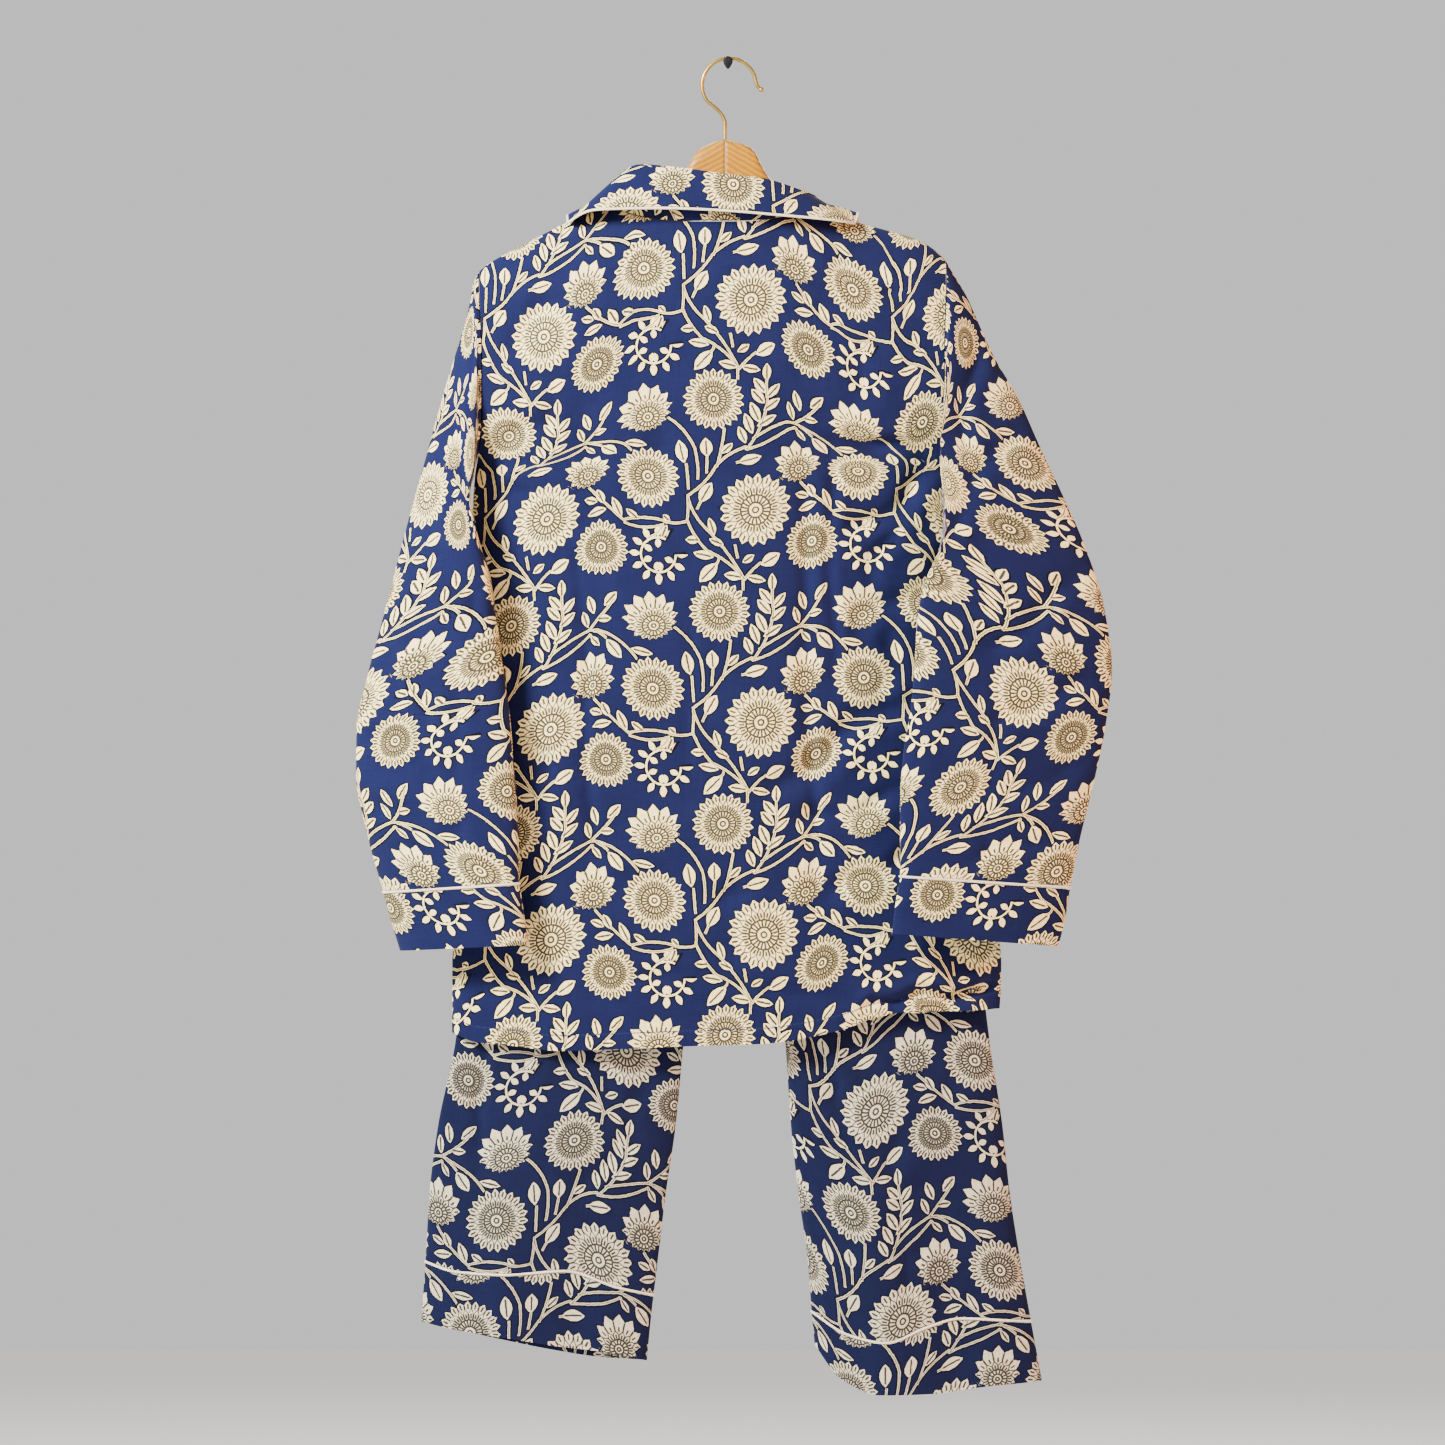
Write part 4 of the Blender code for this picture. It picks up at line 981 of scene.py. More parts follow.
        line = wire(tree, "Math.MULTIPLY_ADD", none, 9.0, line)
        return field, line


@dataclass(frozen=True)
class PrintedCotton:
    """Light plain-woven cotton, dyed blue and block printed in cream with a dark key line.

    A matt cloth: soft fuzz at grazing angles, no gloss, slubs and threads just visible, the blue
    and the cream a little uneven from hand dyeing, and the back of the cloth paler.
    """

    name: str = "block_printed_cotton"
    blue: str = "#151A41"
    deep_blue: str = "#0D1233"
    cream: str = "#F8E4A6"
    worn_cream: str = "#E4CB8A"
    key_line: str = "#06080F"
    reverse: str = "#7F8AA8"
    stitching: str = "#1A2348"
    thread_mm: float = 0.9
    roughness: float = 0.88
    sheen: float = 0.03

    def material(self, block: FlowerTrellis) -> Material:
        """Build the cloth's material.

        Args:
            block: Printed block.

        Returns:
            Material that reads the piece's own Cloth map.
        """
        material, tree, shader = blank_material(self.name)
        point = wire(tree, "UVMap", uv_map="Cloth")
        wander = wire(tree, "TexNoise", point, Scale=0.35, Detail=2.0)
        wander = wire(tree, "VectorMath.SUBTRACT", wander.node.outputs[1], (0.5, 0.5, 0.5))
        wander = wire(tree, "VectorMath.SCALE", wander, Scale=1.1)
        ink_point = wire(tree, "VectorMath.ADD", point, wander)
        field, line = block.draw(tree, ink_point)
        cloud = wire(tree, "TexNoise", point, Scale=0.03, Detail=3.0)
        ground = wire(tree, "MixRGB", cloud, linear(self.deep_blue), linear(self.blue))
        mottle = wire(tree, "TexNoise", point, Scale=0.22, Detail=4.0, Roughness=0.7)
        patch = wire(tree, "MapRange", mottle, 0.45, 0.7, 0.0, 0.75)
        cream = wire(tree, "MixRGB", patch, linear(self.cream), linear(self.worn_cream))
        halo = wire(tree, "MapRange", field, -block.line - 0.7, -block.line - 0.2, 0.0, 0.95)
        colour = wire(tree, "MixRGB", halo, ground, linear(self.key_line))
        shape = wire(tree, "MapRange", field, -0.12, 0.12, 0.0, 1.0)
        colour = wire(tree, "MixRGB", shape, colour, cream)
        stroke = wire(tree, "MapRange", line, block.line * 0.65, block.line * 1.15, 1.0, 0.0)
        inner = wire(tree, "MapRange", field, 0.0, 0.4, 0.0, 0.95)
        stroke = wire(tree, "Math.MULTIPLY", stroke, inner)
        colour = wire(tree, "MixRGB", stroke, colour, linear(self.key_line))
        threads = (1 / self.thread_mm, 1 / self.thread_mm, 1)
        dots = wire(tree, "Mapping", point, (0, 0, 0), (0, 0, 0), threads)
        warp, weft = (wire(tree, "TexWave", dots, wave_type="BANDS", bands_direction=way, Scale=0.314,
                           Distortion=0.6) for way in "XY")
        weave = wire(tree, "Math.MAXIMUM", warp.node.outputs[1], weft.node.outputs[1])
        slub_map = wire(tree, "Mapping", point, (0, 0, 0), (0, 0, 0), (0.05, 1.1, 1))
        slub = wire(tree, "TexNoise", slub_map, Scale=1.0, Detail=3.0)
        slub_map = wire(tree, "Mapping", point, (7, 3, 0), (0, 0, 0), (1.1, 0.04, 1))
        slub_down = wire(tree, "TexNoise", slub_map, Scale=1.0, Detail=3.0)
        slubs = wire(tree, "Math.ADD", slub, slub_down)
        tone = wire(tree, "MapRange", slubs, 0.75, 1.3, 0.86, 1.14)
        grain = wire(tree, "Math.MULTIPLY_ADD", weave, 0.14, 0.93)
        tone = wire(tree, "Math.MULTIPLY", tone, grain)
        colour = wire(tree, "VectorMath.SCALE", colour, Scale=tone)
        away = wire(tree, "Attribute", attribute_name="stitch").node.outputs[2]
        away = wire(tree, "Math.ABSOLUTE", away)
        seam = wire(tree, "MapRange", away, 0.35, 0.75, 1.0, 0.0)
        dash = wire(tree, "VectorMath.DOT_PRODUCT", point, (1 / 3, 1 / 3, 0)).node.outputs[1]
        dash = wire(tree, "Math.FRACT", dash)
        dash = wire(tree, "Math.LESS_THAN", dash, 0.68)
        stitched = wire(tree, "Math.MULTIPLY", seam, dash)
        colour = wire(tree, "MixRGB", stitched, colour, linear(self.stitching))
        back = wire(tree, "Attribute", attribute_name="reverse").node.outputs[2]
        paler = wire(tree, "Math.MULTIPLY", back, 0.55)
        colour = wire(tree, "MixRGB", paler, colour, linear(self.reverse))
        tree.links.new(colour, shader.inputs["Base Color"])
        shader.inputs["Roughness"].default_value = self.roughness
        shader.inputs["Sheen Weight"].default_value = self.sheen
        shader.inputs["Sheen Roughness"].default_value = 0.5
        shader.inputs["Specular IOR Level"].default_value = 0.08
        high = wire(tree, "Math.MULTIPLY_ADD", slubs, 0.5, weave)
        high = wire(tree, "Math.MULTIPLY_ADD", stitched, 1.2, high)
        puckered = wire(tree, "MapRange", away, 1.0, 3.5, 0.0, 0.6)
        high = wire(tree, "Math.ADD", high, puckered)
        bump = wire(tree, "Bump", Strength=0.35, Distance=0.0004, Height=high)
        tree.links.new(bump, shader.inputs["Normal"])
        return material


@dataclass(frozen=True)
class CreamPiping:
    """Cord covered in bias-cut cream cotton: matt, with fine slanting threads and soft shade."""

    name: str = "cream_bias_cotton"
    cream: str = "#EFE4CC"
    shade: str = "#C9B995"

    def material(self) -> Material:
        """Build the cord's material, whose 0.5 mm threads are drawn 0.8 mm apart."""
        material, tree, shader = blank_material(self.name)
        point = wire(tree, "UVMap", uv_map="Cloth")
        slant = wire(tree, "Mapping", point, (0, 0, 0), (0, 0, math.radians(40)), (1, 1, 1))
        thread = wire(tree, "TexWave", slant, wave_type="BANDS", bands_direction="X", Scale=0.4,
                      Distortion=1.0)
        cloud = wire(tree, "TexNoise", point, Scale=0.08, Detail=3.0)
        mixed = wire(tree, "Math.MULTIPLY_ADD", thread.node.outputs[1], 0.35, cloud)
        shade = wire(tree, "MapRange", mixed, 0.4, 1.0, 0.8, 0.0)
        colour = wire(tree, "MixRGB", shade, linear(self.cream), linear(self.shade))
        tree.links.new(colour, shader.inputs["Base Color"])
        shader.inputs["Roughness"].default_value = 0.8
        shader.inputs["Sheen Weight"].default_value = 0.1
        bump = wire(tree, "Bump", Strength=0.4, Distance=0.0003, Height=thread.node.outputs[1])
        tree.links.new(bump, shader.inputs["Normal"])
        return material


@dataclass(frozen=True)
class LacqueredBeech:
    """Beech cut on the slant, sanded and clear lacquered: honey grain, flecks and a soft gloss."""

    name: str
    slant: float
    light: str = "#B07A06"
    dark: str = "#8C5C04"
    fleck: str = "#6A3E08"

    def material(self) -> Material:
        """Build the wood's material, with year rings 4 mm apart and 1 mm flecks."""
        material, tree, shader = blank_material(self.name)
        where = wire(tree, "TexCoord").node.outputs[3]
        turned = wire(tree, "Mapping", where, (0, 0, 0), (0, math.radians(self.slant), 0), (1, 1, 1))
        pulled = wire(tree, "Mapping", turned, (0, 0, 0), (0, 0, 0), (18, 120, 250))
        wavy = wire(tree, "TexNoise", pulled, Scale=0.5, Detail=4.0, Distortion=0.6)
        rings = wire(tree, "TexWave", turned, wave_type="BANDS", bands_direction="Z", Scale=75.0,
                     Distortion=4.0, Detail=3.0).node.outputs[1]
        grain = wire(tree, "Math.MULTIPLY_ADD", wavy, 0.6, rings)
        tone = wire(tree, "MapRange", grain, 0.2, 1.3, 0.0, 1.0)
        colour = wire(tree, "MixRGB", tone, linear(self.light), linear(self.dark))
        fine = wire(tree, "Mapping", turned, (0, 0, 0), (0, 0, 0), (220, 900, 1500))
        flecks = wire(tree, "TexNoise", fine, Scale=1.0, Detail=1.0)
        flecks = wire(tree, "MapRange", flecks, 0.62, 0.72, 0.0, 0.55)
        colour = wire(tree, "MixRGB", flecks, colour, linear(self.fleck))
        tree.links.new(colour, shader.inputs["Base Color"])
        rough = wire(tree, "MapRange", grain, 0.2, 1.3, 0.34, 0.46)
        tree.links.new(rough, shader.inputs["Roughness"])
        shader.inputs["Specular IOR Level"].default_value = 0.3
        rounded = wire(tree, "Bevel", samples=8, Radius=0.004)
        bump = wire(tree, "Bump", Strength=0.15, Distance=0.0003, Height=grain, Normal=rounded)
        tree.links.new(bump, shader.inputs["Normal"])
        return material


@dataclass(frozen=True)
class BrassWire:
    """Brass-plated steel wire, drawn and tumbled: pale gold, soft streaks along it, some dulling."""

    name: str = "brass_plated_wire"
    gold: str = "#B0924A"
    dull: str = "#846A36"

    def material(self) -> Material:
        """Build the wire's material."""
        material, tree, shader = blank_material(self.name)
        where, cloud = clouded(tree, shader, (self.gold, self.dull), (0.4, 0.7, 0.0, 0.8),
                               Scale=160.0, Detail=3.0)
        rough = wire(tree, "MapRange", cloud, 0.35, 0.7, 0.34, 0.5)
        tree.links.new(rough, shader.inputs["Roughness"])
        preset(shader, Metallic=1.0)
        fine = wire(tree, "TexNoise", where, Scale=700.0, Detail=2.0)
        bump = wire(tree, "Bump", Strength=0.05, Distance=0.0001, Height=fine)
        tree.links.new(bump, shader.inputs["Normal"])
        return material


@dataclass(frozen=True)
class BlackLacquer:
    """Steel nail dipped in black lacquer: dark, half gloss, a little worn to grey at its edge."""

    name: str = "black_lacquered_steel"
    black: str = "#050505"
    worn: str = "#1A1918"

    def material(self) -> Material:
        """Build the nail's material."""
        material, tree, shader = blank_material(self.name)
        _, cloud = clouded(tree, shader, (self.black, self.worn), (0.5, 0.72, 0.0, 0.8),
                           Scale=600.0, Detail=4.0)
        preset(shader, Roughness=0.5, Specular_IOR_Level=0.2)
        bump = wire(tree, "Bump", Strength=0.15, Distance=0.0002, Height=cloud)
        tree.links.new(bump, shader.inputs["Normal"])
        return material


@dataclass(frozen=True)
class ShellButton:
    """Cast polyester with a shell figure: cream, glossy, with faint milky clouds."""

    name: str = "cast_shell_polyester"
    pale: str = "#F4ECDA"
    milky: str = "#D6C8A8"

    def material(self) -> Material:
        """Build the buttons' material."""
        material, tree, shader = blank_material(self.name)
        _, cloud = clouded(tree, shader, (self.pale, self.milky), (0.4, 0.65, 0.0, 1.0),
                           Scale=220.0, Detail=4.0, Distortion=1.5)
        preset(shader, Roughness=0.22, Coat_Weight=0.4)
        bump = wire(tree, "Bump", Strength=0.06, Distance=0.0002, Height=cloud)
        tree.links.new(bump, shader.inputs["Normal"])
        return material


@dataclass
class Finishes:
    """All finishes of the set, made once."""

    cotton: Material
    # Painted shade: the trousers' cotton below is the jacket's cloth coloured darker, standing for the weaker
    # light that falls on the trousers.
    leg_cotton: Material
    piping: Material
    beech_left: Material
    beech_right: Material
    brass: Material
    lacquer: Material
    button: Material

    @classmethod
    def make(cls) -> "Finishes":
        """Make every material."""
        block = FlowerTrellis()
        # Painted shade: the same cotton as the jacket's, with its blue and cream made darker to stand for the
        # shade the trousers hang in under the jacket.
        legs = PrintedCotton(name="block_printed_cotton_legs", blue="#111637", deep_blue="#0A0E28",
                             cream="#C4BBA3", worn_cream="#A79C7E")
        return cls(
            cotton=PrintedCotton().material(block), leg_cotton=legs.material(block),
            piping=CreamPiping().material(), beech_left=LacqueredBeech("lacquered_beech_left", 28).material(),
            beech_right=LacqueredBeech("lacquered_beech_right", -28).material(),
            brass=BrassWire().material(), lacquer=BlackLacquer().material(), button=ShellButton().material())


def place_sheet(shell: ClothShell, material: Material) -> Object:
    """Make a cloth shell, tie it to the part and hide the CAD node that it stands for.

    Args:
        shell: Shell to make.
        material: Finish of the cloth.

    Returns:
        Object of the shell.
    """
    made = shell.build(material)
    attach(made, "root")
    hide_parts(shell.name.replace("cloth_", ""))
    return made


def place_piping(name: str, path: Array, closed: bool, finishes: Finishes) -> Object:
    """Make a piping cord that stands for its CAD node."""
    made = cord_mesh("cord_" + name, path, CORD_RADIUS, closed, finishes.piping)
    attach(made, "root")
    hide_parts(name)
    LOG.info("%s: %.0f mm long", made.name, np.linalg.norm(np.diff(path, axis=0), axis=1).sum())
    return made


BODY_LEVELS = rows_of(
    Level,
    (-130, -206, 183, 35, 30, 27), (-180, -209, 183, 35, 31, 28), (-250, -206, 181, 36, 32, 28),
    (-300, -206, 182, 45, 32, 28), (-328, -209, 187, 66, 32, 28), (-350, -213, 194, 90, 32, 28),
    (-420, -217, 200, 90, 31, 27), (-560, -222, 213, 90, 29, 26), (-700, -230, 222, 90, 27, 25),
    (-760, -232, 230, 90, 26, 24), (-832, -232, 226, 90, 25, 23),
)
SHOULDER_LINE = rows_of(
    Point,
    (-216, -186), (-209, -177), (-202, -171), (-177, -157), (-150, -143), (-109, -123), (-57, -101),
    (-3, -87), (45, -104), (84, -124), (104, -134), (132, -142), (156, -149), (171, -157), (183, -168),
    (190, -180),
)
JACKET_HEM = rows_of(
    Point,
    (-232, -817), (-211, -825), (-188, -827), (-141, -832), (-85, -830), (-35, -828), (28, -826),
    (59, -822), (96, -814), (123, -805), (153, -799), (195, -798), (226, -797),
)
BACK_FOLDS = rows_of(
    Fold,
    (-120, -300, -112, -690, 15, 2.6), (62, -380, 76, -680, 15, 2.6), (100, -326, 176, -322, 13, 4.0),
    (128, -188, 176, -214, 12, 3.5), (118, -792, 170, -782, 14, -6.0),
)
FRONT_FOLDS = rows_of(
    Fold,
    (-110, -330, -120, -680, 15, 2.6), (90, -360, 84, -700, 15, 2.6),
)
BACK_CREASES = rows_of(
    Crease,
    (126, -194, 183, -218, 4.5, 3.4), (96, -166, 150, -182, 5, 1.4, 3), (98, -318, 176, -331, 5.5, 4.0),
    (178, -334, 92, -404, 8, 4.0, 6), (160, -360, 118, -440, 7, 2.4, -4),
    (-125, -420, -114, -664, 4.5, 1.8), (60, -300, 73, -690, 5, 1.6), (86, -330, 88, -530, 4.5, 1.8),
    (156, -536, 36, -620, 10, 4.4, -8), (162, -606, 58, -640, 8, 2.8, 5), (176, -660, 80, -706, 8, 3.0, -5),
    (-107, -770, 112, -790, 6, 1.5, 4), (112, -796, 164, -784, 4.5, 4.6),
    (160, -784, 226, -779, 5, 4.8, -3), (146, -800, 228, -800, 6, -4.2),
    (-196, -250, -118, -192, 9, 2.4, 5), (-205, -326, -146, -296, 8, 2.6, -4),
    (-208, -356, -120, -402, 9, 2.8, 5), (-32, -470, -34, -610, 4.5, 1.0), (-70, -148, -20, -178, 7, 1.4),
    (34, -152, 104, -178, 8, 2.0), (-212, -556, -140, -604, 9, 2.6, 4), (-216, -696, -150, -724, 9, 2.2),
    (190, -416, 104, -474, 9, 3.0, 5), (-104, -688, 24, -702, 9, 1.6, -6),
    (-60, -300, -90, -420, 12, 1.5, 6), (20, -230, -10, -330, 13, 1.3, -6),
    (120, -230, 96, -300, 10, 1.8, 4), (140, -470, 132, -540, 8, 1.8), (-170, -430, -178, -540, 10, 1.6, 5),
    (-20, -640, 10, -760, 13, 1.3, 6), (210, -600, 186, -780, 9, 2.2, 5),
)
FRONT_CREASES = rows_of(
    Crease,
    (-176, -330, -110, -322, 6, 2.2), (-180, -352, -96, -420, 8, 2.0, 4), (178, -330, 116, -318, 6, 2.0),
    (176, -352, 100, -410, 8, 2.0, -4), (-120, -420, -114, -700, 4, 1.0), (84, -420, 80, -700, 4, 1.0),
    (-30, -430, -90, -470, 8, 1.2), (-26, -570, -96, -620, 8, 1.2), (20, -560, 90, -600, 8, 1.2, 4),
    (-150, -640, -60, -700, 9, 1.5), (160, -560, 60, -650, 9, 1.6, -5), (-140, -230, -70, -210, 8, 1.2),
    (130, -230, 60, -210, 8, 1.2), (-170, -775, 160, -770, 6, 0.8, 4),
)


class JacketForm:
    """Surfaces of the jacket's body, shared by its panels, sleeves, collar and buttons.

    All in mm: the drop over which a shoulder rounds off, the neck's two ends and the back's neck
    seam, the closure with its overlap and the height where it ends at the top, and the armholes.
    """

    shoulder_drop = 150.0
    neck_left_x = -109.0
    neck_right_x = 84.0
    neck_back_z = -136.5
    closure_x = -8.0
    closure_top = -250.0
    overlap = 15.0
    overlap_lift = 2.4
    armhole_top = {Side.LEFT: -178.0, Side.RIGHT: -169.0}
    armhole_low = -350.0
    armhole_gap = 0.9
    first_guess = (-170.0, -650.0)
    rounds = 30

    def __init__(self) -> None:
        """Make the curves of the body's tables."""
        self.shoulder_z = column(SHOULDER_LINE, "z", "x")
        self.hem_z = column(JACKET_HEM, "z", "x")
        levels = [column(BODY_LEVELS, name, "z") for name in Level._fields[1:]]
        self.left, self.right, self.angle, self.back_depth, self.front_depth = levels

    def depth(self, x: Array, z: Array, depth_at: Curve, folds: Sequence[Fold]) -> Array:
        """Distance of the cloth from the middle plane, in mm."""
        middle = (self.left(z) + self.right(z)) / 2
        half = (self.right(z) - self.left(z)) / 2
        turn = np.clip((x - middle) / half, -1, 1) * np.sin(np.radians(self.angle(z)))
        round_side = np.sqrt(np.maximum(0, 1 - turn ** 2))
        drop = np.clip((self.shoulder_z(x) - z) / self.shoulder_drop, 0, 1)
        over = np.sqrt(1 - (1 - drop) ** 2)
        return (depth_at(z) + broad_height(folds, x, z)) * over * round_side

    def neck_z(self, x: Array) -> Array:
        """Neck seam of the back, in mm."""
        middle = (self.neck_left_x + self.neck_right_x) / 2
        half = (self.neck_right_x - self.neck_left_x) / 2
        side = np.abs((x - middle) / half) ** 4
        return self.neck_back_z + (self.shoulder_z(x) - self.neck_back_z) * np.clip(side, 0, 1)

    def back_top_z(self, x: Array) -> Array:
        """Upper edge of the back, in mm."""
        in_neck = (x > self.neck_left_x) & (x < self.neck_right_x)
        return np.where(in_neck, self.neck_z(x), self.shoulder_z(x))

    def settle(self, x_at: Curve, z_at: Curve, across: Array, down: Array) -> tuple:
        """Points whose x depends on z and whose z depends on x."""
        z = self.first_guess[0] + self.first_guess[1] * down + 0 * across
        for _ in range(self.rounds):
            x = x_at(z)
            z = 0.5 * z + 0.5 * z_at(x)
        return x, z

    def back_grid(self, shares: Array, rows: Array) -> Array:
        """Outer points of the back, from the top edge to the hem."""
        across, down = shares[None, :], rows[:, None]

        def x_at(z: Array) -> Array:
            """Place across at a height."""
            angle = np.radians(self.angle(z))
            middle = (self.left(z) + self.right(z)) / 2
            half = (self.right(z) - self.left(z)) / 2
            return middle + half * np.sin(across * angle) / np.sin(angle)

        def z_at(x: Array) -> Array:
            """Height at a place across."""
            top = self.back_top_z(x)
            return top + (self.hem_z(x) - top) * down

        x, z = self.settle(x_at, z_at, across, down)
        y = -(SEAM_GAP / 2 + self.depth(x, z, self.back_depth, BACK_FOLDS))
        return np.stack([x, y, z], axis=-1)

    def neck_edge(self, side: Side) -> Curve:
        """Edge of a front from the neck down to the closure and hem, as x of z."""
        start_x = self.neck_left_x if side is Side.LEFT else self.neck_right_x
        start_z = float(self.shoulder_z(np.array(start_x)))
        end_x = self.closure_x - side.value * self.overlap
        return smooth_through([-900, self.closure_top, (start_z + self.closure_top) / 2, start_z],
                              [end_x, end_x, (end_x + start_x) / 2 + side.value * 14, start_x])

    def front_grid(self, side: Side, shares: Array, rows: Array) -> Array:
        """Outer points of one front, from its side seam to its closure edge."""
        across, down = shares[None, :], rows[:, None]
        edge = self.neck_edge(side)
        outer = self.left if side is Side.LEFT else self.right

        def x_at(z: Array) -> Array:
            """Place across at a height."""
            return outer(z) + (edge(z) - outer(z)) * across

        def z_at(x: Array) -> Array:
            """Height at a place across."""
            top = self.shoulder_z(x)
            return top + (self.hem_z(x) + 4 - top) * down

        x, z = self.settle(x_at, z_at, across, down)
        y = SEAM_GAP / 2 + self.depth(x, z, self.front_depth, FRONT_FOLDS)
        if side is Side.RIGHT:
            y = y + self.overlap_lift * ease(np.clip((self.closure_x + 38 - x) / 20, 0, 1))
        return np.stack([x, y, z], axis=-1)

    def armhole(self, side: Side, turn: Array) -> Array:
        """Ring round one armhole, just outside the body."""
        edge = self.left if side is Side.LEFT else self.right
        top, low = self.armhole_top[side], self.armhole_low
        z = (top + low) / 2 + (top - low) / 2 * np.cos(turn)
        x = edge(z)
        back = -self.depth(x, z, self.back_depth, ())
        front = self.depth(x, z, self.front_depth, ())
        y = np.where(np.sin(turn) > 0, back, front) * np.clip(np.abs(np.sin(turn)) * 8, 0, 1)
        return np.stack([x + side.value * self.armhole_gap, y, z], axis=-1)


@dataclass
class JacketBody:
    """Back and two fronts of the jacket, with the narrow hem stitched all round.

    Attributes:
        form: Surfaces of the body.
        hem_stitch: Height of the hem's stitching above its edge, in mm.
        edge_stitches: Distances of the front edges' stitching from the edge, in mm.
        pitch: Distance between points, in mm.
        length: Length that the pitch divides, in mm.
        back_width: Width of the back that the pitch divides, in mm.
        front_width: Width of a front that the pitch divides, in mm.
        print_shift: Print's shift on the back, in mm.
    """

    form: JacketForm
    hem_stitch: float = 13.0
    edge_stitches: tuple[float, float] = (2.0, 26.0)
    pitch: float = 3.1
    length: float = 690.0
    back_width: float = 500.0
    front_width: float = 250.0
    print_shift: tuple[float, float] = (141.1, 420.0)

    def rows(self) -> Array:
        """Shares of the length, closer together over the shoulder."""
        top = np.linspace(0, 1, 14)[:-1] ** 2 * 0.05
        return np.concatenate([top, np.linspace(0.05, 1, int(self.length / self.pitch))])

    def dressed(self, shell: ClothShell, creases: Sequence[Crease], phase: float,
                held: tuple[bool, bool]) -> ClothShell:
        """Add creases, swell and hem stitching to a panel.

        Args:
            shell: Panel to dress.
            creases: Its creases.
            phase: Phase of its swell.
            held: Whether the first and the last column are held in a seam.

        Returns:
            The same panel.
        """
        x, z = shell.outer[..., 0], shell.outer[..., 2]
        height = CREASE_GAIN * crease_height(creases, x, z) + ripple(x, z, phase)
        rows, cols, _ = shell.outer.shape
        weight = fade_in(rows, 16, True, False)[:, None] * fade_in(cols, 8, *held)[None, :]
        seams = puckers(shell.outer, 0, False, 9, 0.35)
        for at_end in (False, True):
            if held[at_end]:
                seams = seams + puckers(shell.outer, 1, at_end, 6, 0.2)
        shell.shift(height * weight + seams)
        above = lengths_along(shell.outer[::-1])[::-1]
        shell.stitch = above - self.hem_stitch
        if not held[1]:
            inset = lengths_along(shell.outer[:, ::-1], 1)[:, ::-1]
            for line in self.edge_stitches:
                closer = np.abs(inset - line) < np.abs(shell.stitch)
                shell.stitch = np.where(closer, inset - line, shell.stitch)
        lip = np.clip((above - self.hem_stitch) / 2, -1, 1)
        shell.shift(np.where(above < 25, -0.15 * lip, 0.0))
        return shell

    def build(self, finishes: Finishes) -> None:
        """Make the three panels."""
        line = np.linspace(-1, 1, int(self.back_width / self.pitch))
        shares = 0.5 * line + 0.5 * np.arcsin(line) / (math.pi / 2)
        outer = self.form.back_grid(shares, self.rows())
        middle_row, middle_col = len(outer) // 2, len(shares) // 2
        start = outer[middle_row, middle_col]
        print_start = (start[0] + self.print_shift[0], start[2] + self.print_shift[1])
        back = ClothShell("cloth_jacket_back", outer, False, print_start, (middle_row, middle_col))
        place_sheet(self.dressed(back, BACK_CREASES, 0.4, (True, True)), finishes.cotton)
        for side in Side:
            even = np.linspace(0, 1, int(self.front_width / self.pitch))
            shares = 0.6 * (1 - np.cos(even * math.pi / 2)) + 0.4 * even
            outer = self.form.front_grid(side, shares, self.rows())
            shell = ClothShell("cloth_jacket_front_" + side.word, outer, False, (40.0 * side.value, -250.0),
                               (40, len(shares) - 1), across_sign=side.value, towards=1)
            place_sheet(self.dressed(shell, FRONT_CREASES, 1.1 + side.value, (True, False)),
                        finishes.cotton)


